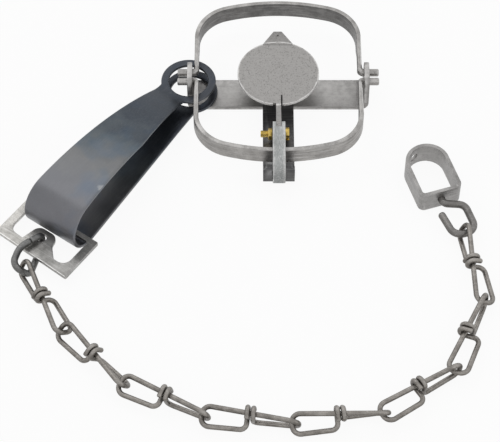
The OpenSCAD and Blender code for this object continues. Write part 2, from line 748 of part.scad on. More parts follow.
module pan() {
    color("silver") difference() {
        union() {
            translate([0, pan_y, pan_z - pan_t]) linear_extrude(pan_t) difference() {
                circle(pan_r, $fn = 96);
                translate([shank_t / 2, -pan_r - 1]) square([slit_w, slit_len + 1]);
                translate([-shank_t / 2 - notch_w, -pan_r - 1]) square([notch_w, notch_len + 1]);
            }
            translate([0, pan_y + tab_fold, pan_z]) rotate([-tab_slope, 0, 0]) translate([0, 0, -pan_t])
                linear_extrude(pan_t) difference() {
                    polygon([[-tab_w / 2, -1], [tab_w / 2, -1], [tab_w / 2, 0], [tab_end_w / 2, tab_len],
                             [-tab_end_w / 2, tab_len], [-tab_w / 2, 0]]);
                    translate([0, tab_hole_at]) circle(tab_hole_r);
                }
            standing(-shank_t / 2, shank_t) shank_outline();
            translate([0, bolt_y, bolt_z]) rod_x(-shank_t / 2, shank_t, shank_eye);
        }
        translate([0, bolt_y, bolt_z]) rod_x(-shank_t, 2 * shank_t, bolt_r + pin_fit);
    }
}

// The shank hangs under the pan, turns on the bolt and rises to the catch under the dog's tip
module shank_outline() {
    near = tip_y - catch_lap;
    edge = pan_y - pan_r;
    waist_z = bolt_z + shank_eye + catch_lap;
    polygon([
        [edge + shank_foot, pan_z - pan_t / 2], [edge - shank_t / 2, pan_z], [tip_y + catch_len, catch_top],
        [near, catch_top], [near, catch_top - catch_h], [bolt_y - shank_eye, waist_z], [bolt_y - shank_eye, bolt_z],
        [bolt_y + shank_eye, bolt_z], [bolt_y + shank_eye + shank_t / 2, waist_z], [edge, pan_z - shank_depth]
    ]);
}

module dog() {
    color("lightgray") difference() {
        translate([0, hinge_y + dog_return, hinge_z - dog_drop]) rotate([-90, 0, -90])
            strip(dog_path, dog_t, dog_w);
        translate([-fork_w / 2, tip_y - fork_l, tip_under - dog_t]) cube([fork_w, 2 * fork_l, 4 * dog_t]);
    }
}

// One jaw in its own frame: pivot line along X at the origin, arch towards +Y
module jaw() {
    difference() {
        union() {
            translate([0, 0, -jaw_down]) linear_extrude(jaw_up + jaw_down) difference() {
                arch_area(0, 0);
                arch_area(jaw_t, 1);
            }
            for (side = [0, 1]) mirror([side, 0, 0]) {
                translate([0, 0, jaw_up - neck_r]) rod_x(jaw_x - jaw_t, jaw_t, neck_r);
                rod_x(jaw_x - jaw_t / 2, jaw_t / 2 + jaw_side + base_t + pin_out, pin_r);
            }
        }
        standing(-jaw_x - 1, 2 * jaw_x + 2) polygon([
            [-neck_r - 1, -jaw_down - 1], [neck_len + neck_taper, -jaw_down - 1], [neck_len + neck_taper, -jaw_down],
            [neck_len, -neck_down], [0, -neck_down], [-neck_r - 1, -neck_down]
        ]);
    }
}

// The area inside a jaw's arch, drawn in by d all round and run past the pivot line by extra
module arch_area(d, extra) {
    half = jaw_x - d;
    translate([-half, -extra]) square([2 * half, corner_y + extra]);
    for (side = [-1, 1]) translate([side * corner_x, corner_y]) intersection() {
        circle(jaw_corner - d, $fn = 96);
        translate([-jaw_corner, -corner_y - extra]) square([2 * jaw_corner, 2 * jaw_corner + corner_y]);
    }
    intersection() {
        translate([0, crown_y]) circle(jaw_crown - d, $fn = 256);
        polygon([
            [-corner_x, corner_y], [corner_x, corner_y],
            [2 * jaw_crown * sin(crown_half), crown_y + 2 * jaw_crown * cos(crown_half)],
            [-2 * jaw_crown * sin(crown_half), crown_y + 2 * jaw_crown * cos(crown_half)]
        ]);
    }
}

module near_jaw() color("silver") translate([0, -pivot_y, pivot_z]) mirror([0, 1, 0]) jaw();

module far_jaw() color("silver") translate([0, pivot_y, pivot_z]) jaw();

module spring_lower_leaf() {
    color("dimgray") spring_place() leaf(
        [[flat_down, 0], [flat_bend, -low_fall], [low_run, 0], [bend_r, 90 + low_fall - split_turn]],
        low_z, 0, 0
    );
}

module spring_upper_leaf() {
    color("slategray") spring_place() leaf(
        [[flat_up, 0], [flat_bend, leaf_slope], [bow_r, -leaf_slope - leaf_fall],
         [bend_r, leaf_fall - 90 + split_turn]],
        high_z, eye_shift, waist_in
    );
}

module chain_plate() {
    color("lightgray") spring_place() translate([bend_mid.x, plate_shift, plate_z]) rotate([0, -plate_tilt, 0])
        translate([0, 0, -plate_t / 2]) linear_extrude(plate_t) difference() {
            wide = plate_half + plate_bar;
            polygon(rounded(
                [[plate_back, -wide], [plate_out, -wide], [plate_out + plate_skew, wide], [plate_back, wide]],
                [plate_corner, plate_corner, plate_corner, plate_corner]
            ));
            difference() {
                inner = plate_out - plate_outer;
                foot = inner + plate_skew;
                polygon(rounded(
                    [[plate_edge, -plate_half], [inner, -plate_half], [inner + plate_skew, plate_half],
                     [plate_edge, plate_half]],
                    [plate_nook, plate_round, plate_round, plate_nook]
                ));
                head = hole_x - tongue_head;
                translate([0, tongue_y]) polygon(rounded(
                    [[head, -tongue_far], [foot, -tongue_far_foot], [foot, tongue_near_foot],
                     [inner - tongue_flare, tongue_side], [head, tongue_near]],
                    [tongue_round, 0, 0, tongue_round, tongue_round]
                ));
            }
            translate([hole_x, tongue_y]) circle(hole_r);
        }
}

module connecting_link() {
    color("dimgray") spring_place() translate(hole_at) rotate([0, 0, link_turn]) ring(link_path, link_bends, link_d);
}

// One knotted link: a loop at each end, in planes square to each other, and the wire's ends wrapped in the middle
module link_shape() {
    h = loop_w / 2;
    tip = chain_pitch / 2 + wire_reach;
    wrap = wire_d + wrap_gap;
    end_a = -wrap_at;
    end_b = wrap_at;
    spine_a = [-h * (tip - end_a) / 2 / tip, -h * (tip + end_a) / 2 / tip];
    spine_b = [-h * (tip - end_b) / 2 / tip, -h * (tip + end_b) / 2 / tip];
    wire(
        [
            [end_a, spine_a.x + wrap_tail, spine_a.y - wrap],
            [end_a, spine_a.x - wrap, spine_a.y - wrap],
            [end_a, spine_a.x - wrap, spine_a.y + wrap],
            [end_a, h, 0],
            [-tip, h, 0],
            [-tip, -h, 0],
            [tip, 0, -h],
            [tip, 0, h],
            [end_b, 0, h],
            [end_b, spine_b.x + wrap, spine_b.y - wrap],
            [end_b, spine_b.x - wrap, spine_b.y - wrap],
            [end_b, spine_b.x - wrap, spine_b.y + wrap_tail]
        ],
        [wrap_bend, wrap_bend, wrap_in_bend, loop_bend, loop_bend, loop_bend, loop_bend, wrap_in_bend, wrap_bend,
         wrap_bend],
        wire_d
    );
}

module chain_link(i) {
    color("gray") translate((chain_joint(i) + chain_joint(i + 1)) / 2)
        rotate([0, 0, chain_headings[i]]) rotate([-135 - chain_rolls[i], 0, 0]) link_shape();
}

module swivel_place() translate(hook_at) rotate([0, 0, hook_heading]) children();

// The hook's axes start at the outside of the box: X away from the box
module swivel_hook() {
    head = -strap_t - hook_fit;
    far = hook_w * hook_share;
    color("dimgray") swivel_place() {
        wire(
            [[head - hook_head_h / 2, 0, 0], [hook_neck, 0, 0], [hook_slope, far, 0], [hook_len, far, 0],
             [hook_len, far - hook_w, 0], [hook_mouth, -hook_end_side, 0]],
            [hook_neck_bend, hook_slope_bend, hook_bend, hook_bend],
            hook_d
        );
        rod_x(head - hook_head_h, hook_head_h, hook_head_r);
    }
}

module swivel_box() {
    color("gray") swivel_place() difference() {
        translate([0, 0, -strap_w / 2]) linear_extrude(strap_w) difference() {
            box_outline(0);
            box_outline(strap_t);
        }
        rod_x(-strap_t - 1, strap_t + 2, hook_d / 2 + hook_fit);
        translate([box_w / 2 - box_len, 0, 0]) rotate([0, 0, anchor_turn])
            rod_x(-box_w / 2 - 1, strap_t + 2, anchor_r);
    }
}

// The plan of the box, drawn in by d: square at the hook, round at the arch
module box_outline(d) {
    half = box_w / 2 - d;
    long = box_len - box_w / 2;
    polygon(rounded([[-long, -half], [-d, -half], [-d, half], [-long, half]], [0, box_corner - d, box_corner - d, 0]));
    translate([-long, 0]) circle(half, $fn = 96);
}

base_frame();
cross_bar();
cross_rivets();
pan_post();
post_rivet();
pan_bolt();
pan_nut();
pan();
dog();
near_jaw();
far_jaw();
spring_lower_leaf();
spring_upper_leaf();
chain_plate();
connecting_link();
for (i = [0:chain_count - 1]) chain_link(i);
swivel_hook();
swivel_box();
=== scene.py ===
"""Looks of a long-spring foothold trap in its set position.

Wires, bars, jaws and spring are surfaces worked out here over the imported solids. The stamped pieces are
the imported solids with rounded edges. The finishes are bare, blued and galvanised steel, oiled chain wire
and brass. Lengths are in mm until a mesh is made, in the same frame as the solids.
"""
import math

import bmesh
import bpy
import numpy as np
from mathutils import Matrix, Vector

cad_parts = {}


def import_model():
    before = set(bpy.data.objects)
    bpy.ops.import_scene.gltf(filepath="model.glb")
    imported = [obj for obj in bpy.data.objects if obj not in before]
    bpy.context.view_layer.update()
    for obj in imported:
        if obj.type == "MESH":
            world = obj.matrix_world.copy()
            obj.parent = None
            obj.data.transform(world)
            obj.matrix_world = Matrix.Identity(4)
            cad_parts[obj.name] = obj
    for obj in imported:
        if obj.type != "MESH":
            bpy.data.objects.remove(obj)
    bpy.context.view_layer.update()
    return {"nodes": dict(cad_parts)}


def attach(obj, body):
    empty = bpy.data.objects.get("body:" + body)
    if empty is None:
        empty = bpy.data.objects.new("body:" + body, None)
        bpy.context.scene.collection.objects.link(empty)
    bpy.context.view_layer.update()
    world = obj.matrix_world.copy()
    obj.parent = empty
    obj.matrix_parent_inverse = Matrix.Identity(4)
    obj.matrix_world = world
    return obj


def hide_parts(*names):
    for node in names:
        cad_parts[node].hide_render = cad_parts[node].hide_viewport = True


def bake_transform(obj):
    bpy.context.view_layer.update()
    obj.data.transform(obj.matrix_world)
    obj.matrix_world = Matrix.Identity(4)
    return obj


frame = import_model()

# Metres in a millimetre
MM = 0.001

# Area from which a flat face counts as broad, and the width of its rim
BROAD_FACE, RIM_W = 20.0, 0.3

# Angles from which an edge is rounded, or is kept sharp in the shading
ROUND_FROM, SHARP_FROM = 35, 40

# Share of a face's normal from which it counts as turned in
INWARD_FROM = 0.6

# A wire's ends: the lip's length over the diameter, and the share of the radius left at the tip
LIP_SHARE, TIP_SHARE = 0.3, 0.6

# Rows and columns of the meshes, and the spacing of a wire's rings
WIRE_SIDES, WIRE_STEP = 18, 0.7
BAR_ROWS, BAR_TOP_ROWS = 180, 9
CORNER_ROWS, CROWN_ROWS, JAW_ROWS = 60, 30, 300
DOG_ROWS, FORK_ROWS, FORK_COLUMNS, PRONG_COLUMNS = 90, 6, 5, 4
SPRING_ROWS, SPRING_COLUMNS, EYE_RAYS, EYE_ROWS = 230, 19, 73, 6
THREAD_ROWS, THREAD_SIDES, HEAD_SIDES = 60, 28, 40

# Sizes of the base, the jaws and the dog
UPRIGHT_X = 58.7
BASE_W, BASE_T, BASE_BEND = 23.4, 3.2, 3.0
UPRIGHT_H, UPRIGHT_TOP_W, UPRIGHT_CORNER, BASE_EDGE = 26.5, 19.0, 4.0, 0.5
PIVOT_Y, PIVOT_Z, PIN_R, PIN_END, PIN_LIP, PIN_FLAT = 3.8, 20.0, 2.5, 66.8, 0.5, 0.02
PIN_TIP_ROWS = (0, 0.15, 0.35, 0.6)
JAW_T, JAW_X, JAW_UP, JAW_DOWN = 3.0, 55.7, 3.6, 8.8
JAW_REACH, JAW_CORNER, JAW_CROWN = 60.6, 28.0, 130.0
NECK_DOWN, NECK_LEN, NECK_TAPER, NECK_BEND = 2.6, 15.0, 10.0, 2.5
NECK_BEFORE, NECK_AFTER = 0.6, 1.0
JAW_EDGES = (1.1, 0.8, 0.55)
HINGE_Y, HINGE_Z = -73.1, 17.1
DOG_W, DOG_T, DOG_RETURN, DOG_DROP, DOG_EDGE = 8.2, 3.0, 3.5, 4.0, 0.5
FORK_W, FORK_L = 3.4, 4.0

# The dog's middle line from its heel, as [length, 0] runs and [radius, turn] bends
DOG_RUNS = [[9.9, 0], [2.5, -90], [2.5, 0], [9.0, -73], [17.81, 0], [22.0, -26.6]]

# Sizes of the spring
SPRING_T, SPRING_EDGE, SPRING_SWING = 2.2, 0.45, 54.5
EYE_IN, EYE_OUT, EYE_SHIFT = 13.2, 18.2, -1.2
LOW_Z, HIGH_Z = 4.6, 14.6
FLAT_DOWN, FLAT_UP, FLAT_BEND = 32.0, 14.0, 16.0
LEAF_SLOPE, LEAF_FALL, HUMP_Z = 25.5, 5.0, 37.0
LEAF_NEAR_W, LEAF_FAR_W, WAIST_IN, WAIST_LEN = 25.0, 39.8, 8.3, 70.0
NOSE, BEND_MID_X, BEND_R = 148.785, 130.108, 17.576
EYE_JOIN, EYE_EDGE_FAR = 20.0, 30.0

# Sizes of the connecting link
LINK_D, LINK_LEN, LINK_TURN = 4.4, 28.7, 15.5
LINK_HOLE = (151.976, -4.5, 0.0)
LINK_LOW, LINK_HIGH, LINK_BULGE = 2.4, 10.413, 8.4
LINK_LEAN, LINK_KNEE, LINK_KNEE_UP = 0.9, 14.0, 0.01
LINK_TOP_SIDE, LINK_TOP_RISE = -6.6, 5.7
LINK_FOOT_SIDE, LINK_FOOT_DROP = 3.4, 3.5
LINK_BENDS = (3.6, 3.6, 8, 5, 5, 16)

# Sizes of the chain and the swivel
WIRE_D, CHAIN_PITCH, LOOP_W, LOOP_GAP, CHAIN_Z = 3.2, 54.0, 12.7, 0.8, 8.1
WRAP_AT, WRAP_TAIL, WRAP_GAP = 0.56, 1.4, 0.2
KNOT_BENDS = (3, 3, 4, 5, 5, 5, 5, 4, 3, 3)
CHAIN_START = (-160.039, -144.076, 8.1)
CHAIN_HEADINGS = (-60, -45, -24, -6, 8, 34, 68, 100)
CHAIN_ROLLS = (-15, 9, 30, 27, 12, 40, 48, 20)
KNOT_LAY = -135
HOOK_D, HOOK_LEN, HOOK_W, HOOK_HEADING = 4.8, 30.0, 15.0, -72.0
HOOK_AT = (104.1145, -91.3503, 8.1)
HOOK_NECK, HOOK_SLOPE, HOOK_TIP, TIP_SIDE_SHARE, HEAD_SHARE = 4, 9, 11, 0.3, 0.6
HOOK_BENDS = (4, 6, 7, 7)
HOOK_HEAD_H, HEAD_GAP, STRAP_T, BOX_LEN = 2.6, 0.1, 2.2, 40.0

# Sizes of the pan and its bolt
PAN_R, PAN_Y, PAN_Z = 27.0, 0.5, 24
BOLT_Y, BOLT_Z, BOLT_R = -42.4, 13.0, 2.1
THREAD_FROM, THREAD_TO, THREAD_PITCH, THREAD_DEPTH = -6.85, -11.75, 0.8, 0.22
THREAD_SKIN, THREAD_FADE = 0.02, 0.5

# The floor's reach, how far it lies under the object, and the share of its white that takes no shadow
FLOOR_REACH, FLOOR_DROP, FLOOR_GLOW = 4000.0, 0.2, 0.92

# The lamps' aim and the camera's place in metres, the camera's tilt up from straight down, and its lens
LAMP_AIM = (0, -0.08, 0)
CAMERA_AT, CAMERA_TILT, CAMERA_LENS = (-0.01872, -0.82895, 1.01764), 35.5, 140.24


def unit(vectors):
    """A vector, or each row of an array of vectors, brought to length one."""
    vectors = np.asarray(vectors, float)
    return vectors / np.linalg.norm(vectors, axis=-1, keepdims=True)


def turned(points, degrees):
    """Points turned about Z."""
    angle = math.radians(degrees)
    along_x, along_y = math.cos(angle), math.sin(angle)
    spin = np.array([[along_x, along_y, 0], [-along_y, along_x, 0], [0, 0, 1]])
    return np.asarray(points, float) @ spin


def rolled(points, degrees):
    """Points turned about X."""
    angle = math.radians(degrees)
    along_y, along_z = math.cos(angle), math.sin(angle)
    spin = np.array([[1, 0, 0], [0, along_y, along_z], [0, -along_z, along_y]])
    return np.asarray(points, float) @ spin


def spring_point(points):
    """Points on the spring's own axes, reach, side and height, brought into the frame."""
    return turned(points, 180 + SPRING_SWING) + np.array([-UPRIGHT_X, 0, 0])


def bent_line(points, bends, step=5.0):
    """Straight runs joined by round bends: at each inner corner an arc of its radius touches both runs."""
    points = np.asarray(points, float)
    rows = [points[:1]]
    for before, here, after, radius in zip(points[:-2], points[1:-1], points[2:], bends):
        way_in, way_out = unit(here - before), unit(after - here)
        turn = math.acos(np.clip(way_in @ way_out, -1, 1))
        start = here - way_in * radius * math.tan(turn / 2)
        inward = np.cross(unit(np.cross(way_in, way_out)), way_in)
        angle = np.linspace(0, turn, int(math.degrees(turn) / step) + 3)[:, None]
        rows.append(start + radius * (np.sin(angle) * way_in + (1 - np.cos(angle)) * inward))
    rows.append(points[-1:])
    return np.vstack(rows)


def along(path):
    """Length along a path at each of its points."""
    return np.concatenate([[0], np.cumsum(np.linalg.norm(np.diff(path, axis=0), axis=1))])


def at_lengths(path, lengths):
    """Points of a path at the given lengths along it."""
    run = along(path)
    return np.stack([np.interp(lengths, run, values) for values in path.T], axis=1)


def cross_ways(path):
    """Two unit vectors square to the path at each point.

    The first is square to one fixed direction too: of many spread over half a ball, the one that stays
    furthest from every tangent. The second is the cross product of tangent and first.
    """
    tangent = unit(np.gradient(path, axis=0))
    count = 300
    number = np.arange(count) + 0.5
    polar = np.arccos(1 - number / count)
    around = math.pi * (1 + math.sqrt(5)) * number
    ways = np.stack([np.cos(around) * np.sin(polar), np.sin(around) * np.sin(polar), np.cos(polar)], axis=1)
    clear = ways[np.argmin(np.abs(ways @ tangent.T).max(axis=1))]
    first = unit(np.cross(tangent, clear))
    return first, np.cross(tangent, first)


def grid_faces(rows, columns, wrap):
    """Corner numbers of the quads between neighbouring rows and columns, joined round where wrap is set."""
    index = np.arange(rows * columns).reshape(rows, columns)
    if wrap:
        index = np.concatenate([index, index[:, :1]], axis=1)
    return np.stack([index[:-1, :-1], index[:-1, 1:], index[1:, 1:], index[1:, :-1]], axis=-1).reshape(-1, 4)


def new_piece(name, points, faces):
    """A mesh object at the origin from points in mm and faces, doubles merged and faces turned outwards."""
    mesh = bpy.data.meshes.new(name)
    mesh.from_pydata((np.asarray(points) * MM).tolist(), [], faces)
    work = bmesh.new()
    work.from_mesh(mesh)
    bmesh.ops.remove_doubles(work, verts=work.verts, dist=1e-6)
    bmesh.ops.recalc_face_normals(work, faces=work.faces)
    work.to_mesh(mesh)
    work.free()
    obj = bpy.data.objects.new(name, mesh)
    bpy.context.scene.collection.objects.link(obj)
    shade(mesh)
    return obj


def shade(mesh):
    """Smooth shading, with steep edges kept sharp."""
    mesh.shade_smooth()
    mesh.set_sharp_from_angle(angle=math.radians(SHARP_FROM))


def tube_piece(name, grid):
    """A closed skin over a grid of rings, with a flat cap on its first and last ring."""
    rows, columns = grid.shape[:2]
    faces = grid_faces(rows, columns, True).tolist()
    faces += [list(range(columns))[::-1], list(range((rows - 1) * columns, rows * columns))]
    return new_piece(name, grid.reshape(-1, 3), faces)


def wire_piece(name, points, bends, diameter, place):
    """A round wire: circles square to a bent line, narrowed over a quarter ellipse at each end."""
    path = bent_line(points, bends)
    total = along(path)[-1]
    lip = LIP_SHARE * diameter
    ease = lip * (1 - np.cos(np.linspace(0, math.pi / 2, 5)))
    middle = np.linspace(lip, total - lip, int(total / WIRE_STEP))
    lengths = np.concatenate([ease[:-1], middle, total - ease[-2::-1]])
    path = place(at_lengths(path, lengths))
    short = np.clip(np.minimum(lengths, total - lengths) / lip, 0, 1)
    radius = diameter / 2 * (TIP_SHARE + (1 - TIP_SHARE) * np.sqrt(1 - (1 - short) ** 2))
    first, second = cross_ways(path)
    angle = np.linspace(0, 2 * math.pi, WIRE_SIDES, endpoint=False)[None, :, None]
    ring = np.cos(angle) * first[:, None, :] + np.sin(angle) * second[:, None, :]
    return tube_piece(name, path[:, None, :] + radius[:, None, None] * ring)


def round_box(half, low, high, corner, steps=4):
    """Outline of a rectangle at each station, -half to half and low to high, its corners quarter circles."""
    turn = np.linspace(0, math.pi / 2, steps)
    angle = np.concatenate([turn, turn + math.pi / 2, turn + math.pi, turn + 1.5 * math.pi])
    across = np.repeat([1, -1, -1, 1], steps)
    upward = np.repeat([1, 1, -1, -1], steps)
    half, low, high, corner = (np.asarray(values, float)[:, None] for values in (half, low, high, corner))
    flat = across * (half - corner) + corner * np.cos(angle)
    tall = np.where(upward > 0, high - corner, low + corner) + corner * np.sin(angle)
    return np.stack([flat, tall], axis=-1)


def walked(runs, step=3.0):
    """Points along [length, 0] runs and [radius, turn] bends in a plane, from the origin along X.

    Left turns are positive.
    """
    at, way, rows = np.zeros(2), 0.0, [np.zeros((1, 2))]
    for size, turn in runs:
        if turn == 0:
            line = at + size * np.array([[math.cos(way), math.sin(way)]])
        else:
            sweep = way + math.radians(turn) * np.linspace(0, 1, int(abs(turn) / step) + 2)[1:]
            sign = math.copysign(1, turn)
            middle = at + sign * size * np.array([-math.sin(way), math.cos(way)])
            line = middle + sign * size * np.stack([np.sin(sweep), -np.cos(sweep)], axis=1)
            way += math.radians(turn)
        rows.append(line)
        at = line[-1]
    return np.vstack(rows)


def finished(obj, edge, thickness=None):
    """The piece with its wall and its rounded edges made into one mesh.

    Broad flat faces get a narrow rim of their own, so that the wear at their edges stays there.
    """
    if thickness:
        wall = obj.modifiers.new("wall", "SOLIDIFY")
        wall.thickness = thickness * MM
        wall.offset = 0
    lip = obj.modifiers.new("lip", "BEVEL")
    lip.width = edge * MM
    lip.segments = 3
    lip.limit_method = "ANGLE"
    lip.angle_limit = math.radians(ROUND_FROM)
    bpy.context.view_layer.update()
    done = obj.evaluated_get(bpy.context.evaluated_depsgraph_get())
    whole = bpy.data.meshes.new_from_object(done)
    obj.modifiers.clear()
    work = bmesh.new()
    work.from_mesh(whole)
    broad = [face for face in work.faces if face.calc_area() > BROAD_FACE * MM ** 2]
    bmesh.ops.inset_individual(work, faces=broad, thickness=RIM_W * MM, use_even_offset=True)
    work.to_mesh(whole)
    work.free()
    obj.data = whole
    shade(whole)
    return obj


def rounded_copy(name, node, edge):
    """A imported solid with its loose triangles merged, its flat faces joined and its edges rounded."""
    source = frame["nodes"][node].data
    work = bmesh.new()
    work.from_mesh(source)
    bmesh.ops.remove_doubles(work, verts=work.verts, dist=2e-6)
    bmesh.ops.dissolve_limit(work, angle_limit=math.radians(1.0), verts=work.verts, edges=work.edges)
    mesh = bpy.data.meshes.new(name)
    work.to_mesh(mesh)
    work.free()
    obj = bpy.data.objects.new(name, mesh)
    bpy.context.scene.collection.objects.link(obj)
    return finished(obj, edge)


# Shader groups
def group(name, inputs, outputs):
    """An empty shader group with its named sockets, and its two end nodes."""
    tree = bpy.data.node_groups.new(name, "ShaderNodeTree")
    for label, kind, value in inputs:
        socket = tree.interface.new_socket(label, in_out="INPUT", socket_type=kind)
        socket.default_value = value
    for label, kind in outputs:
        tree.interface.new_socket(label, in_out="OUTPUT", socket_type=kind)
    return tree, tree.nodes.new("NodeGroupInput"), tree.nodes.new("NodeGroupOutput")


def noise(tree, vector, scale, detail=4.0, rough=0.55):
    """A noise texture on the given coordinates, its scale a number or a socket."""
    node = tree.nodes.new("ShaderNodeTexNoise")
    node.inputs["Detail"].default_value = detail
    node.inputs["Roughness"].default_value = rough
    tree.links.new(vector, node.inputs["Vector"])
    if isinstance(scale, (int, float)):
        node.inputs["Scale"].default_value = scale
    else:
        tree.links.new(scale, node.inputs["Scale"])
    return node.outputs["Fac"]


def spread(tree, value, low, high, to_low=0.0, to_high=1.0):
    """A value mapped from one range to another, held at its ends."""
    node = tree.nodes.new("ShaderNodeMapRange")
    for label, number in (("From Min", low), ("From Max", high), ("To Min", to_low), ("To Max", to_high)):
        if isinstance(number, (int, float)):
            node.inputs[label].default_value = number
        else:
            tree.links.new(number, node.inputs[label])
    tree.links.new(value, node.inputs["Value"])
    return node.outputs["Result"]


def sums(tree, kind, a, b):
    """Two values put together by one sum."""
    node = tree.nodes.new("ShaderNodeMath")
    node.operation = kind
    for socket, value in zip(node.inputs, (a, b)):
        if isinstance(value, (int, float)):
            socket.default_value = value
        else:
            tree.links.new(value, socket)
    return node.outputs[0]


def blend_colours(tree, mask, a, b, kind="MIX"):
    """Two colours mixed by a mask."""
    node = tree.nodes.new("ShaderNodeMix")
    node.data_type = "RGBA"
    node.blend_type = kind
    for label, value in (("Factor", mask), ("A", a), ("B", b)):
        socket = next(s for s in node.inputs if s.name == label and s.enabled)
        if isinstance(value, (int, float)):
            socket.default_value = value
        elif isinstance(value, tuple):
            socket.default_value = (*value, 1)
        else:
            tree.links.new(value, socket)
    return next(s for s in node.outputs if s.enabled)


def make_grain():
    """Rolled-steel grain: broad mottling, fine speckle, and scratches from noise drawn out by the squeeze."""
    tree, start, end = group(
        "rolled_grain",
        [("Coarse", "NodeSocketFloat", 90.0), ("Fine", "NodeSocketFloat", 1100.0),
         ("Lines", "NodeSocketFloat", 14.0), ("Turn", "NodeSocketFloat", 0.0),
         ("Squeeze", "NodeSocketVector", (0.05, 1, 1))],
        [("Mottle", "NodeSocketFloat"), ("Speckle", "NodeSocketFloat"), ("Scratch", "NodeSocketFloat")],
    )
    spot = tree.nodes.new("ShaderNodeTexCoord").outputs["Object"]
    tree.links.new(noise(tree, spot, start.outputs["Coarse"], 5, 0.6), end.inputs["Mottle"])
    tree.links.new(noise(tree, spot, start.outputs["Fine"], 2), end.inputs["Speckle"])
    spin = tree.nodes.new("ShaderNodeVectorRotate")
    spin.rotation_type = "Z_AXIS"
    tree.links.new(spot, spin.inputs["Vector"])
    tree.links.new(start.outputs["Turn"], spin.inputs["Angle"])
    squeeze = tree.nodes.new("ShaderNodeMapping")
    tree.links.new(spin.outputs["Vector"], squeeze.inputs["Vector"])
    tree.links.new(start.outputs["Squeeze"], squeeze.inputs["Scale"])
    density = sums(tree, "MULTIPLY", start.outputs["Lines"], 100.0)
    lines = noise(tree, squeeze.outputs["Vector"], density, 3)
    tree.links.new(lines, end.inputs["Scratch"])
    return tree


def make_rub():
    """Rubbed edges: how far the surface bulges at a point, broken up by noise, as a mask from 0 to 1."""
    tree, start, end = group(
        "rubbed_edges",
        [("From", "NodeSocketFloat", 0.52), ("To", "NodeSocketFloat", 0.62)],
        [("Mask", "NodeSocketFloat")],
    )
    bulge = tree.nodes.new("ShaderNodeNewGeometry").outputs["Pointiness"]
    spot = tree.nodes.new("ShaderNodeTexCoord").outputs["Object"]
    mask = spread(tree, bulge, start.outputs["From"], start.outputs["To"])
    broken = spread(tree, noise(tree, spot, 260.0, 4), 0.35, 0.6, 0.35, 1.0)
    tree.links.new(sums(tree, "MULTIPLY", mask, broken), end.inputs["Mask"])
    return tree


def make_flank_shade():
    """Painted shade on the flanks: 0 where the surface faces up, rising to 1 where it stands upright or faces
    down.
    """
    tree, _, end = group("painted_flank_shade", [], [("Mask", "NodeSocketFloat")])
    facing = tree.nodes.new("ShaderNodeTexCoord")
    parts = tree.nodes.new("ShaderNodeSeparateXYZ")
    tree.links.new(facing.outputs["Normal"], parts.inputs["Vector"])
    patch = spread(tree, noise(tree, facing.outputs["Object"], 300.0, 3), 0.3, 0.7, -0.15, 0.15)
    tree.links.new(spread(tree, sums(tree, "ADD", parts.outputs["Z"], patch), 0.9, 0.2), end.inputs["Mask"])
    return tree


GRAIN = make_grain()
RUB = make_rub()
FLANK_SHADE = make_flank_shade()


def place_group(tree, made, **values):
    """One placing of a shader group with its own input values."""
    node = tree.nodes.new("ShaderNodeGroup")
    node.node_tree = made
    for label, value in values.items():
        node.inputs[label].default_value = value
    return node


def steel(name, dark, light, rubbed, rough=(0.34, 0.5), coarse=90.0, lines=14.0, turn=0.0,
          squeeze=(0.05, 1, 1), scratch=0.35, speck=0.3, flank_shade=None, bump=0.25, metal=0.85, tint=None,
          worn=(0.52, 0.62)):
    """A worn metal: colour mottled from dark to light, painted shade on the flanks, pits, scratches, pale
    edges, bump.
    """
    made = bpy.data.materials.new(name)
    made.use_nodes = True
    tree = made.node_tree
    bsdf = tree.nodes["Principled BSDF"]
    grain = place_group(tree, GRAIN, Coarse=coarse, Lines=lines, Turn=math.radians(turn), Squeeze=squeeze)
    rub = place_group(tree, RUB, From=worn[0], To=worn[1])
    mottle = spread(tree, grain.outputs["Mottle"], 0.32, 0.68)
    colour = blend_colours(tree, mottle, dark, light)
    if tint:
        colour = tint(tree, colour)
    # Painted shade: where the surface stands upright or faces down, the colour is multiplied darker
    if flank_shade:
        shaded_flank = place_group(tree, FLANK_SHADE).outputs["Mask"]
        colour = blend_colours(tree, shaded_flank, colour, blend_colours(tree, 1.0, colour, flank_shade, "MULTIPLY"))
    pits = spread(tree, grain.outputs["Speckle"], 0.54, 0.7, 0.0, speck)
    colour = blend_colours(tree, pits, colour, tuple(0.4 * v for v in dark))
    scored = spread(tree, grain.outputs["Scratch"], 0.5, 0.72, 0.0, scratch)
    colour = blend_colours(tree, scored, colour, rubbed)
    colour = blend_colours(tree, rub.outputs["Mask"], colour, rubbed)
    tree.links.new(colour, bsdf.inputs["Base Color"])
    gloss = sums(tree, "ADD", sums(tree, "MULTIPLY", grain.outputs["Speckle"], 0.4),
                 sums(tree, "MULTIPLY", grain.outputs["Mottle"], 0.6))
    tree.links.new(spread(tree, gloss, 0.3, 0.7, rough[0], rough[1]), bsdf.inputs["Roughness"])
    furrow = sums(tree, "MULTIPLY", grain.outputs["Scratch"], 0.8)
    height = sums(tree, "ADD", grain.outputs["Speckle"], furrow)
    relief = tree.nodes.new("ShaderNodeBump")
    relief.inputs["Strength"].default_value = bump
    relief.inputs["Distance"].default_value = 0.0002
    tree.links.new(height, relief.inputs["Height"])
    tree.links.new(relief.outputs["Normal"], bsdf.inputs["Normal"])
    bsdf.inputs["Metallic"].default_value = metal
    return made


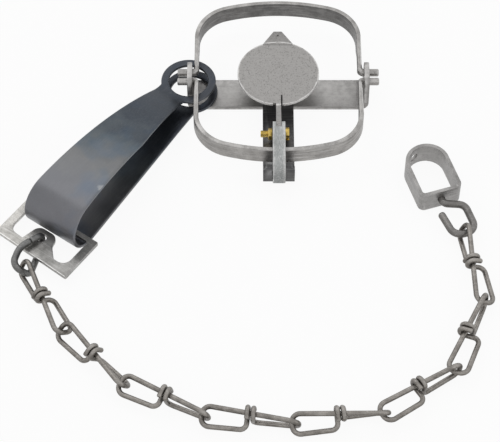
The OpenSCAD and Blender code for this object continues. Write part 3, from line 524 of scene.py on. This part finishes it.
def spring_colours(tree, colour):
    """Heat colours: blue-black at the eyes, olive grey at the middle, slate at the bend; painted shade on the
    lower leaf.
    """
    spot = tree.nodes.new("ShaderNodeTexCoord").outputs["Object"]
    lay = tree.nodes.new("ShaderNodeMapping")
    lay.vector_type = "TEXTURE"
    lay.inputs["Location"].default_value = (-UPRIGHT_X * MM, 0, 0)
    lay.inputs["Rotation"].default_value = (0, 0, math.radians(180 + SPRING_SWING))
    tree.links.new(spot, lay.inputs["Vector"])
    parts = tree.nodes.new("ShaderNodeSeparateXYZ")
    tree.links.new(lay.outputs["Vector"], parts.inputs["Vector"])
    wobble = spread(tree, noise(tree, spot, 28.0, 3), 0.3, 0.7, -0.022, 0.022)
    reach = sums(tree, "ADD", parts.outputs["X"], wobble)
    # Painted shade: the lower a part lies, the darker it is, down to 0.7 of its colour
    low = spread(tree, parts.outputs["Z"], 0.007, 0.015, 0.5, 1.0)
    ramp = tree.nodes.new("ShaderNodeValToRGB")
    tree.links.new(spread(tree, reach, 0.0, NOSE * MM), ramp.inputs["Fac"])
    stops = ramp.color_ramp.elements
    stops[0].color = (0.062, 0.068, 0.08, 1)
    stops[1].color = (0.175, 0.176, 0.19, 1)
    for place, shown in ((0.3, (0.064, 0.076, 0.094)), (0.48, (0.115, 0.132, 0.144)),
                         (0.68, (0.18, 0.183, 0.187)), (0.82, (0.168, 0.172, 0.184))):
        stops.new(place).color = (*shown, 1)
    heated = blend_colours(tree, 1.0, colour, ramp.outputs["Color"], "MULTIPLY")
    blue = spread(tree, noise(tree, spot, 42.0, 2), 0.52, 0.68, 0.0, 0.55)
    bluer = blend_colours(tree, 1.0, heated, (0.72, 0.9, 1.12), "MULTIPLY")
    heated = blend_colours(tree, blue, heated, bluer)
    under = blend_colours(tree, 1.0, heated, (0.4, 0.39, 0.4), "MULTIPLY")
    return blend_colours(tree, low, under, heated)


def dog_colours(tree, colour):
    """Pale rims along the dog's two sides and a cooler grey between them."""
    spot = tree.nodes.new("ShaderNodeTexCoord").outputs["Object"]
    parts = tree.nodes.new("ShaderNodeSeparateXYZ")
    tree.links.new(spot, parts.inputs["Vector"])
    off = sums(tree, "ABSOLUTE", sums(tree, "ADD", parts.outputs["X"], 0.0003), 0.0)
    wobble = spread(tree, noise(tree, spot, 240.0, 3), 0.3, 0.7, -0.0005, 0.0005)
    rim = spread(tree, sums(tree, "ADD", off, wobble), 0.0026, 0.0034)
    cooler = blend_colours(tree, 1.0, colour, (0.71, 0.73, 0.73), "MULTIPLY")
    return blend_colours(tree, rim, cooler, colour)


def pan_rim_highlight(tree, colour):
    """A pale line round the pan's rim: a painted highlight on the sheet's lit edge."""
    spot = tree.nodes.new("ShaderNodeTexCoord").outputs["Object"]
    reach = tree.nodes.new("ShaderNodeVectorMath")
    reach.operation = "DISTANCE"
    tree.links.new(spot, reach.inputs[0])
    reach.inputs[1].default_value = (0, PAN_Y * MM, PAN_Z * MM)
    wobble = spread(tree, noise(tree, spot, 200.0, 3), 0.3, 0.7, -0.0004, 0.0004)
    out = sums(tree, "ADD", reach.outputs["Value"], wobble)
    # Painted highlight: a pale band across the rim's edge
    rim = sums(tree, "MULTIPLY", spread(tree, out, (PAN_R - 0.9) * MM, (PAN_R - 0.3) * MM),
               spread(tree, out, (PAN_R + 0.9) * MM, (PAN_R + 0.5) * MM))
    return blend_colours(tree, sums(tree, "MULTIPLY", rim, 0.85), colour, (0.72, 0.71, 0.7))


def plate_colours(tree, colour):
    """The plate's left bar paler than its right one, by the place across the plate."""
    parts = tree.nodes.new("ShaderNodeSeparateXYZ")
    tree.links.new(tree.nodes.new("ShaderNodeTexCoord").outputs["Object"], parts.inputs["Vector"])
    left = spread(tree, parts.outputs["X"], -0.15, -0.165)
    darker = blend_colours(tree, 1.0, colour, (0.84, 0.84, 0.84), "MULTIPLY")
    paler = blend_colours(tree, 1.0, colour, (1.4, 1.39, 1.37), "MULTIPLY")
    return blend_colours(tree, left, darker, paler)


# Colours and grain of each finish; the colour given for the flanks multiplies in painted shade where a
# surface stands upright or faces down
LOOKS = {
    "base_steel": dict(dark=(0.25, 0.243, 0.237), light=(0.35, 0.342, 0.335), rubbed=(0.5, 0.49, 0.48),
                       flank_shade=(0.8, 0.79, 0.78)),
    "cross_steel": dict(dark=(0.068, 0.068, 0.07), light=(0.122, 0.12, 0.12), rubbed=(0.3, 0.3, 0.3),
                        lines=8),
    "rivet_steel": dict(dark=(0.2, 0.2, 0.2), light=(0.3, 0.3, 0.3), rubbed=(0.45, 0.45, 0.45)),
    "post_steel": dict(dark=(0.2, 0.2, 0.2), light=(0.28, 0.28, 0.28), rubbed=(0.42, 0.42, 0.42)),
    "pan_steel": dict(dark=(0.345, 0.336, 0.327), light=(0.4, 0.39, 0.38), rubbed=(0.58, 0.57, 0.56),
                      rough=(0.52, 0.66), coarse=320, lines=9, scratch=0.07, speck=0.55, worn=(0.8, 0.95),
                      tint=pan_rim_highlight),
    "jaw_steel": dict(dark=(0.27, 0.262, 0.254), light=(0.48, 0.469, 0.455), rubbed=(0.68, 0.67, 0.66),
                      coarse=140, squeeze=(0.06, 0.06, 1), lines=9, scratch=0.5, speck=0.35,
                      flank_shade=(0.86, 0.85, 0.84)),
    # Painted shade: the finish of the jaws' faces turned in to the trap's middle
    "jaw_inner_shade": dict(dark=(0.1, 0.097, 0.094), light=(0.2, 0.195, 0.19), rubbed=(0.5, 0.49, 0.48),
                      coarse=140, squeeze=(0.06, 0.06, 1), lines=9, scratch=0.3),
    "zinc": dict(dark=(0.39, 0.394, 0.39), light=(0.565, 0.565, 0.56), rubbed=(0.78, 0.78, 0.77),
                 coarse=170, scratch=0.45, lines=20, turn=90, flank_shade=(0.72, 0.72, 0.72), tint=dog_colours),
    "plate_zinc": dict(dark=(0.23, 0.226, 0.216), light=(0.55, 0.542, 0.525), rubbed=(0.78, 0.77, 0.76),
                       coarse=75, turn=35, tint=plate_colours),
    "blued_steel": dict(dark=(0.84, 0.84, 0.84), light=(1.0, 1.0, 1.0), rubbed=(0.3, 0.31, 0.32),
                        rough=(0.3, 0.44), coarse=45, scratch=0.08, speck=0.05, turn=-SPRING_SWING, bump=0.12,
                        tint=spring_colours),
    "link_steel": dict(dark=(0.12, 0.12, 0.12), light=(0.22, 0.22, 0.218), rubbed=(0.4, 0.4, 0.39),
                       flank_shade=(0.5, 0.49, 0.48)),
    "chain_steel": dict(dark=(0.155, 0.143, 0.13), light=(0.33, 0.31, 0.287), rubbed=(0.52, 0.5, 0.475),
                        rough=(0.3, 0.46), coarse=160, flank_shade=(0.4, 0.375, 0.345)),
    "hook_steel": dict(dark=(0.13, 0.125, 0.12), light=(0.24, 0.23, 0.22), rubbed=(0.42, 0.41, 0.4),
                       flank_shade=(0.5, 0.48, 0.46)),
    "strap_steel": dict(dark=(0.25, 0.244, 0.238), light=(0.385, 0.376, 0.368), rubbed=(0.6, 0.59, 0.58),
                        squeeze=(0.1, 0.1, 1), lines=8, speck=0.4, worn=(0.57, 0.7)),
    "strap_scale": dict(dark=(0.27, 0.264, 0.258), light=(0.42, 0.41, 0.4), rubbed=(0.5, 0.49, 0.48),
                        squeeze=(0.1, 0.1, 1), lines=8, speck=0.4, worn=(0.57, 0.7)),
    "brass": dict(dark=(0.42, 0.29, 0.06), light=(0.64, 0.46, 0.12), rubbed=(0.9, 0.7, 0.3),
                  rough=(0.2, 0.32), speck=0.1, metal=1.0),
}
FINISHES = {name: steel(name, **look) for name, look in LOOKS.items()}


def dress(obj, finish, body, slot, *nodes):
    """The piece gets its finish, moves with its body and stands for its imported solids."""
    if finish not in obj.data.materials:
        obj.data.materials.clear()
        obj.data.materials.append(FINISHES[finish])
    if nodes:
        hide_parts(*nodes)
    if body:
        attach(obj, body)
    return obj


def darkened(obj, finish, inside, middle):
    """The piece gets its finish, and the inside finish on the faces turned in to its middle."""
    for name in (finish, inside):
        obj.data.materials.append(FINISHES[name])
    for face in obj.data.polygons:
        inward = np.array(face.normal[:2]) @ unit(np.array(middle[:2]) - np.array(face.center[:2]) / MM)
        face.material_index = int(inward > INWARD_FROM)


# Base
def base_bar():
    """A flat bar bent up at both ends: a rounded rectangle along a bent line, narrowed to round tops."""
    half_t = BASE_T / 2
    corners = [(-UPRIGHT_X, 0, UPRIGHT_H), (-UPRIGHT_X, 0, half_t),
               (UPRIGHT_X, 0, half_t), (UPRIGHT_X, 0, UPRIGHT_H)]
    path = bent_line(corners, [BASE_BEND + half_t] * 2)
    total = along(path)[-1]
    top = UPRIGHT_CORNER * (1 - np.cos(np.linspace(0, math.pi / 2, BAR_TOP_ROWS)))
    middle = np.linspace(UPRIGHT_CORNER, total - UPRIGHT_CORNER, BAR_ROWS)
    lengths = np.concatenate([top[:-1], middle, total - top[-2::-1]])
    path = at_lengths(path, lengths)
    tangent = unit(np.gradient(path, axis=0))
    across = np.tile([0.0, 1.0, 0.0], (len(path), 1))
    outward = np.cross(across, tangent)
    end = np.minimum(lengths, total - lengths)
    taper = np.interp(end, [0, UPRIGHT_H - BASE_T - BASE_BEND], [UPRIGHT_TOP_W / 2, BASE_W / 2])
    short = np.clip(UPRIGHT_CORNER - end, 0, None)
    half = taper - UPRIGHT_CORNER + np.sqrt(UPRIGHT_CORNER ** 2 - short ** 2)
    same = np.ones_like(half)
    outline = round_box(half, -half_t * same, half_t * same, BASE_EDGE * same)
    grid = path[:, None] + outline[..., :1] * across[:, None] + outline[..., 1:] * outward[:, None]
    return tube_piece("base_bar", grid)


dress(base_bar(), "base_steel", "base_body", "base_frame", "base_frame")
for name, node, edge, finish, slot in (
    ("cross_bar_bent", "cross_bar", 0.4, "cross_steel", "cross_bar"),
    ("cross_rivet_heads", "cross_rivets", 0.25, "rivet_steel", "rivet"),
    ("pan_post_ears", "pan_post", 0.3, "post_steel", "pan_post"),
    ("post_rivet_head", "post_rivet", 0.25, "rivet_steel", "rivet"),
    ("pan_bolt_body", "pan_bolt", 0.3, "brass", "brass"),
    ("pan_nut_body", "pan_nut", 0.3, "brass", "brass"),
):
    dress(rounded_copy(name, node, edge), finish, "base_body", slot, node)


def bolt_thread():
    """A screw thread: a skin round the bolt whose radius rises and falls once a pitch and turn."""
    reach = np.linspace(THREAD_FROM, THREAD_TO, THREAD_ROWS)[:, None]
    angle = np.linspace(0, 2 * math.pi, THREAD_SIDES, endpoint=False)[None, :]
    wave = np.abs(((reach / THREAD_PITCH + angle / (2 * math.pi)) % 1) * 2 - 1)
    end = np.clip((reach - THREAD_TO) / THREAD_FADE, 0, 1)
    radius = BOLT_R + THREAD_SKIN + THREAD_DEPTH * wave * end
    side, height = BOLT_Y + radius * np.cos(angle), BOLT_Z + radius * np.sin(angle)
    return tube_piece("pan_bolt_thread", np.stack([reach + 0 * angle, side, height], axis=-1))


dress(bolt_thread(), "brass", "base_body", "brass")
dress(rounded_copy("pan_plate", "pan", 0.4), "pan_steel", "pan_body", "pan", "pan")


# Jaws
def jaw_piece(name, way):
    """A jaw from pin to pin: an outline carried round the arch, from a circle at the pins to a tall band."""
    leg = JAW_X - JAW_T / 2
    corner_x = JAW_X - JAW_CORNER
    crown_y = JAW_REACH - JAW_CROWN
    corner_y = crown_y + math.sqrt((JAW_CROWN - JAW_CORNER) ** 2 - corner_x ** 2)
    crown_half = math.asin(corner_x / (JAW_CROWN - JAW_CORNER))
    turn = np.linspace(0, math.pi / 2 - crown_half, CORNER_ROWS)[:, None]
    corner_way = np.hstack([np.cos(turn), np.sin(turn)])
    corner = np.array([corner_x, corner_y]) + (JAW_CORNER - JAW_T / 2) * corner_way
    sweep = np.linspace(math.pi / 2 - crown_half, math.pi / 2, CROWN_ROWS)[1:, None]
    crown_way = np.hstack([np.cos(sweep), np.sin(sweep)])
    crown = np.array([0, crown_y]) + (JAW_CROWN - JAW_T / 2) * crown_way
    foot = bent_line([(PIN_END, 0, 0), (leg, 0, 0), (leg, corner_y, 0)], [NECK_BEND])[:-1, :2]
    half = np.vstack([foot, corner, crown])
    path = np.vstack([half, half[-2::-1] * [-1, 1]])
    total = along(path)[-1]
    tip = np.array(PIN_TIP_ROWS)
    lengths = np.concatenate([tip, np.linspace(1, total - 1, JAW_ROWS), total - tip[::-1]])
    path = at_lengths(path, lengths)
    tangent = unit(np.gradient(path, axis=0))
    out = np.stack([tangent[:, 1], -tangent[:, 0]], axis=1)
    end = np.minimum(lengths, total - lengths)
    bend_from = PIN_END - leg - NECK_BEND
    bend_to = bend_from + NECK_BEND * math.pi / 2
    neck_to = bend_to + NECK_LEN - NECK_BEND
    stations = [0, PIN_TIP_ROWS[-1], bend_from - NECK_BEFORE, bend_to + NECK_AFTER, neck_to,
                neck_to + NECK_TAPER]
    pin_lip = PIN_R - PIN_LIP
    thick = np.interp(end, stations, [pin_lip, PIN_R, PIN_R, JAW_T / 2, JAW_T / 2, JAW_T / 2])
    high = np.interp(end, stations, [pin_lip, PIN_R, PIN_R, JAW_UP, JAW_UP, JAW_UP])
    low = np.interp(end, stations, [-pin_lip, -PIN_R, -PIN_R, -NECK_DOWN, -NECK_DOWN, -JAW_DOWN])
    pin_edge = PIN_R - PIN_FLAT
    edge = np.interp(end, stations, [pin_lip - PIN_FLAT, pin_edge, pin_edge, *JAW_EDGES])
    outline = round_box(thick, low, high, edge, steps=6)
    plan = path[:, None] + outline[..., :1] * out[:, None]
    grid = np.concatenate([plan, outline[..., 1:]], axis=-1) * [1, way, 1] + [0, way * PIVOT_Y, PIVOT_Z]
    piece = tube_piece(name, grid)
    # Faces turned in to the trap's middle get a much darker finish: painted shade
    darkened(piece, "jaw_steel", "jaw_inner_shade", (0, way * (PIVOT_Y + corner_y / 2)))
    return piece


dress(jaw_piece("near_jaw_band", -1), "jaw_steel", "near_jaw_body", "jaw", "near_jaw")
dress(jaw_piece("far_jaw_band", 1), "jaw_steel", "far_jaw_body", "jaw", "far_jaw")


# Dog
def dog_strip():
    """A strip hooked round the lug's bar and arched over the jaw.

    It is a grid along its bent middle line, with a notch in its tip.
    """
    line = walked(DOG_RUNS)
    total = along(line)[-1]
    plain = np.linspace(0, total - FORK_L, DOG_ROWS)
    lengths = np.concatenate([plain, np.linspace(total - FORK_L, total, FORK_ROWS)[1:]])
    line = at_lengths(line, lengths)
    prong = np.linspace(FORK_W / 2, DOG_W / 2, PRONG_COLUMNS)
    side = np.concatenate([-prong[::-1], np.linspace(-FORK_W / 2, FORK_W / 2, FORK_COLUMNS)[1:-1], prong])
    rows, columns = len(lengths), len(side)
    grid = np.stack([
        np.broadcast_to(side, (rows, columns)),
        np.broadcast_to(HINGE_Y + DOG_RETURN - line[:, :1], (rows, columns)),
        np.broadcast_to(HINGE_Z - DOG_DROP - line[:, 1:], (rows, columns)),
    ], axis=-1)
    faces = grid_faces(rows, columns, False)
    row, column = np.divmod(faces[:, 0], columns)
    between = (column >= PRONG_COLUMNS - 1) & (column < columns - PRONG_COLUMNS)
    notch = (lengths[row] > total - FORK_L - 1e-6) & between
    return finished(new_piece("dog_strip", grid.reshape(-1, 3), faces[~notch].tolist()), DOG_EDGE, DOG_T)


dress(dog_strip(), "zinc", "dog_body", "dog", "dog")


# Spring
def spring_line():
    """The spring's two middle lines, reach and height, each from its eye to the nose of the bend."""
    climb_z = HIGH_Z + FLAT_BEND * (1 - math.cos(math.radians(LEAF_SLOPE)))
    bow = (HUMP_Z - climb_z) / (1 - math.cos(math.radians(LEAF_SLOPE)))
    hump = [[FLAT_UP, 0], [FLAT_BEND, LEAF_SLOPE], [bow, -LEAF_SLOPE - LEAF_FALL], [BEND_R, LEAF_FALL - 90]]
    upper = walked(hump, step=1.0) + [0, HIGH_Z]
    bend_z = SPRING_T / 2 + BEND_R
    span = np.array([BEND_MID_X - FLAT_DOWN, bend_z - LOW_Z + FLAT_BEND])
    reach = FLAT_BEND + BEND_R
    fall = math.degrees(math.asin(reach / np.linalg.norm(span)) - math.atan2(span[1], span[0]))
    run = math.sqrt(span @ span - reach ** 2)
    flat = [[FLAT_DOWN, 0], [FLAT_BEND, -fall], [run, 0], [BEND_R, 90 + fall]]
    lower = walked(flat, step=1.0) + [0, LOW_Z]
    return lower, upper


def leaf_sides(x, shift, waist):
    """Both edges of a leaf at a reach from the eye's middle.

    Its width grows to the nose, where the eye's shift has faded out. The waist draws the near edge in by
    the eye.
    """
    half = (LEAF_NEAR_W + (LEAF_FAR_W - LEAF_NEAR_W) * x / (NOSE + 1)) / 2
    middle = shift * (1 - x / (NOSE + 1))
    return middle - half, middle + half - waist * np.clip(1 - x / WAIST_LEN, 0, 1)


def eye_grid(share, shift, waist, join_x):
    """An eye in plan: rays from the hole's rim to the leaf's first row, its edges, or the outer circle."""
    far, near = leaf_sides(join_x, shift, waist)
    face = np.stack([np.full_like(share, EYE_JOIN), far + share * (near - far)], axis=1)
    first = np.arctan2(face[:, 1] - shift, EYE_JOIN)
    around = np.linspace(first[-1], first[0] + 2 * math.pi, EYE_RAYS)[1:-1]
    slope = (LEAF_FAR_W - LEAF_NEAR_W) / (NOSE + 1) / 2
    ray = np.stack([np.cos(around), np.sin(around)], axis=1)
    drawn_in = np.where(ray[:, 1] > 0, waist, 0)
    lean = slope - np.sign(ray[:, 1]) * shift / (NOSE + 1) + drawn_in / WAIST_LEN
    edge = (LEAF_NEAR_W / 2 - drawn_in) / np.clip(np.abs(ray[:, 1]) - lean * ray[:, 0], 0.05, None)
    reach = np.where(ray[:, 0] > 0, np.maximum(EYE_OUT, np.minimum(edge, EYE_EDGE_FAR)), EYE_OUT)
    outer = np.vstack([face, np.array([0, shift]) + reach[:, None] * ray])
    angle = np.concatenate([first, around])
    inner = np.array([0, shift]) + EYE_IN * np.stack([np.cos(angle), np.sin(angle)], axis=1)
    step = np.linspace(0, 1, EYE_ROWS)[:, None, None]
    return inner + step * (outer - inner)


def spring_strip():
    """One strip of steel: eye, lower leaf, bend, upper leaf, eye, laid in plan on the bent middle lines."""
    lower, upper = spring_line()
    line = np.vstack([lower, upper[-2::-1]])
    total = along(line)[-1]
    share = np.linspace(0, 1, SPRING_COLUMNS)
    lengths = np.linspace(EYE_JOIN, total - EYE_JOIN, SPRING_ROWS)
    laid = at_lengths(line, lengths)
    is_upper = (lengths > along(lower)[-1])[:, None]
    far, near = leaf_sides(laid[:, :1], EYE_SHIFT * is_upper, WAIST_IN * is_upper)
    strip = np.stack([
        np.repeat(laid[:, :1], len(share), axis=1),
        far + share * (near - far),
        np.repeat(laid[:, 1:], len(share), axis=1),
    ], axis=-1)
    points = [strip.reshape(-1, 3)]
    faces = [grid_faces(*strip.shape[:2], False)]
    for path, shift, waist in ((lower, 0.0, 0.0), (upper, EYE_SHIFT, WAIST_IN)):
        plan = eye_grid(share, shift, waist, np.interp(EYE_JOIN, along(path), path[:, 0]))
        height = np.interp(plan[..., 0], along(path), path[:, 1])
        reach = np.where(plan[..., 0] > 0, np.interp(plan[..., 0], along(path), path[:, 0]), plan[..., 0])
        faces.append(grid_faces(*plan.shape[:2], True) + sum(len(part) for part in points))
        points.append(np.stack([reach, plan[..., 1], height], axis=-1).reshape(-1, 3))
    piece = new_piece("spring_strip", spring_point(np.vstack(points)), np.vstack(faces).tolist())
    return finished(piece, SPRING_EDGE, SPRING_T)


spring = dress(spring_strip(), "blued_steel", None, "spring_upper_leaf",
               "spring_lower_leaf", "spring_upper_leaf")
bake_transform(spring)

# Chain plate and connecting link
dress(rounded_copy("chain_plate_stamped", "chain_plate", 0.4), "plate_zinc", "chain_plate_body",
      "chain_plate", "chain_plate")


def link_place(points):
    """Points on the connecting link's own axes, brought into the frame."""
    return spring_point(turned(points, LINK_TURN) + np.array(LINK_HOLE))


def connecting_link():
    """A closed loop of heavy wire from the tongue's hole to the first chain link, butted on its upper run."""
    top = np.array([0, 0, LINK_HIGH])
    high = np.array([LINK_LEN + LINK_LEAN, LINK_TOP_SIDE, CHAIN_Z + LINK_TOP_RISE])
    low = np.array([LINK_LEN - LINK_LEAN, LINK_FOOT_SIDE, CHAIN_Z - LINK_FOOT_DROP])
    knee = np.array([LINK_KNEE, low[1] / 2, LINK_LOW + LINK_KNEE_UP])
    side = np.array([LINK_LEN / 2, -LINK_BULGE, (top[2] + high[2]) / 2])
    butt = (top + side) / 2
    points = [butt, top, (0, 0, LINK_LOW), knee, low, high, side, butt]
    return wire_piece("connecting_link_wire", points, LINK_BENDS, LINK_D, link_place)


dress(connecting_link(), "link_steel", "connecting_link_body", "connecting_link", "connecting_link")


# Chain
def link_points():
    """Corners of one knotted link: a loop at each end, in square planes, its ends wrapped at the middle."""
    half = LOOP_W / 2
    tip = CHAIN_PITCH / 2 + (WIRE_D + LOOP_GAP) / 2
    wrap = WIRE_D + WRAP_GAP
    end = WRAP_AT * WIRE_D
    near, far = -half * (tip + end) / 2 / tip, -half * (tip - end) / 2 / tip
    tail = WRAP_TAIL * WIRE_D
    return [
        (-end, near + tail, far - wrap), (-end, near - wrap, far - wrap), (-end, near - wrap, far + wrap),
        (-end, half, 0), (-tip, half, 0), (-tip, -half, 0), (tip, 0, -half), (tip, 0, half), (end, 0, half),
        (end, far + wrap, near - wrap), (end, far - wrap, near - wrap), (end, far - wrap, near + tail),
    ]


joint = np.array(CHAIN_START)
for number, (heading, roll) in enumerate(zip(CHAIN_HEADINGS, CHAIN_ROLLS), start=1):
    step = turned([CHAIN_PITCH, 0, 0], heading)

    def link_lies(points, middle=joint + step / 2, heading=heading, roll=roll):
        """Points on a link's own axes, rolled, headed and moved to the link's place."""
        return turned(rolled(points, KNOT_LAY - roll), heading) + middle

    piece = wire_piece(f"knotted_link_{number}", link_points(), KNOT_BENDS, WIRE_D, link_lies)
    dress(piece, "chain_steel", f"chain_link_{number}_body", "chain_link", f"chain_link_{number}")
    joint = joint + step


# Swivel
def hook_place(points):
    """Points on the hook's own axes, X away from the box, brought into the frame."""
    return turned(points, HOOK_HEADING) + np.array(HOOK_AT)


def swivel_hook():
    """The hook's wire, through the box and round to its open tip."""
    inside = -STRAP_T - HEAD_GAP - HOOK_HEAD_H * HEAD_SHARE
    far, near, tip = HOOK_W * 5 / 6, -HOOK_W / 6, -HOOK_W * TIP_SIDE_SHARE
    points = [(inside, 0, 0), (HOOK_NECK, 0, 0), (HOOK_SLOPE, far, 0), (HOOK_LEN, far, 0),
              (HOOK_LEN, near, 0), (HOOK_TIP, tip, 0)]
    return wire_piece("swivel_hook_wire", points, HOOK_BENDS, HOOK_D, hook_place)


def hook_head():
    """The hook's upset head: a ring profile turned about the hook's axis, flat under and domed over."""
    depth = np.array([0, 0, 0, 0.35, 1.2, 1.9, 2.4, HOOK_HEAD_H, HOOK_HEAD_H])[:, None]
    radius = np.array([2.3, 3.4, 4.05, 4.4, 4.4, 4.1, 3.2, 1.6, 0.4])[:, None]
    angle = np.linspace(0, 2 * math.pi, HEAD_SIDES, endpoint=False)[None, :]
    back = -STRAP_T - HEAD_GAP - depth + 0 * angle
    grid = np.stack([back, radius * np.cos(angle), radius * np.sin(angle)], axis=-1)
    return tube_piece("swivel_hook_head", hook_place(grid))


dress(swivel_hook(), "hook_steel", "swivel_hook_body", "swivel_hook", "swivel_hook")
dress(hook_head(), "hook_steel", "swivel_hook_body", "swivel_hook")
box = rounded_copy("swivel_box_strap", "swivel_box", 0.35)
darkened(box, "strap_steel", "strap_scale", hook_place([[-BOX_LEN / 2, 0, 0]])[0])
dress(box, "strap_steel", "swivel_box_body", "swivel_box", "swivel_box")


# Floor, light and camera
def shows_background(tree):
    """1 for rays from the camera, from a reflection or through glass, and 0 for the light on the object."""
    ray = tree.nodes.new("ShaderNodeLightPath").outputs
    mirrored = sums(tree, "MAXIMUM", ray["Is Glossy Ray"], ray["Is Transmission Ray"])
    return sums(tree, "MAXIMUM", ray["Is Camera Ray"], mirrored)


def floor():
    """A wide flat floor, a hair under the object."""
    corners = FLOOR_REACH * np.array([[-1, -1, 0], [1, -1, 0], [1, 1, 0], [-1, 1, 0]])
    piece = new_piece("floor", corners - [0, 0, FLOOR_DROP], [[0, 1, 2, 3]])
    made = bpy.data.materials.new("pale_floor")
    made.use_nodes = True
    tree = made.node_tree
    bsdf = tree.nodes["Principled BSDF"]
    bsdf.inputs["Base Color"].default_value = (0.9, 0.9, 0.9, 1)
    bsdf.inputs["Roughness"].default_value = 0.9
    bsdf.inputs["Specular IOR Level"].default_value = 0.0
    glow = tree.nodes.new("ShaderNodeEmission")
    mix = tree.nodes.new("ShaderNodeMixShader")
    tree.links.new(sums(tree, "MULTIPLY", shows_background(tree), FLOOR_GLOW), mix.inputs["Fac"])
    tree.links.new(bsdf.outputs[0], mix.inputs[1])
    tree.links.new(glow.outputs[0], mix.inputs[2])
    tree.links.new(mix.outputs[0], tree.nodes["Material Output"].inputs["Surface"])
    piece.data.materials.append(made)


def world():
    """White to the camera, and for the light a pale dome that fades towards the horizon."""
    made = bpy.data.worlds.new("studio")
    made.use_nodes = True
    bpy.context.scene.world = made
    tree = made.node_tree
    back = tree.nodes["Background"]
    back.inputs["Color"].default_value = (1, 1, 1, 1)
    spot = tree.nodes.new("ShaderNodeTexCoord").outputs["Generated"]
    parts = tree.nodes.new("ShaderNodeSeparateXYZ")
    tree.links.new(spot, parts.inputs["Vector"])
    dome = spread(tree, parts.outputs["Z"], -0.1, 0.9, 0.45, 0.8)
    level = tree.nodes.new("ShaderNodeMix")
    tree.links.new(shows_background(tree), level.inputs[0])
    tree.links.new(dome, level.inputs[2])
    level.inputs[3].default_value = 1.0
    tree.links.new(level.outputs[0], back.inputs["Strength"])


def lamp(name, place, size, power):
    """A soft square lamp at a place, turned to the object."""
    made = bpy.data.lights.new(name, "AREA")
    made.size = size
    made.energy = power
    obj = bpy.data.objects.new(name, made)
    bpy.context.scene.collection.objects.link(obj)
    obj.location = place
    obj.rotation_euler = (Vector(LAMP_AIM) - Vector(place)).to_track_quat("-Z", "Y").to_euler()


def camera():
    """The photograph's view: 54.5 degrees down, from 1.25 m, along +Y."""
    made = bpy.data.cameras.new("camera")
    made.lens = CAMERA_LENS
    made.sensor_width = 36.0
    made.sensor_fit = "HORIZONTAL"
    made.clip_end = 20
    obj = bpy.data.objects.new("camera", made)
    obj.location = CAMERA_AT
    obj.rotation_euler = (math.radians(CAMERA_TILT), 0, 0)
    bpy.context.scene.collection.objects.link(obj)
    bpy.context.scene.camera = obj


floor()
world()
lamp("key_lamp", (-0.5, 0.7, 1.3), 0.9, 2.0)
lamp("fill_lamp", (0.9, -0.6, 1.0), 0.8, 0.7)
camera()
bpy.context.scene.view_settings.view_transform = "Standard"
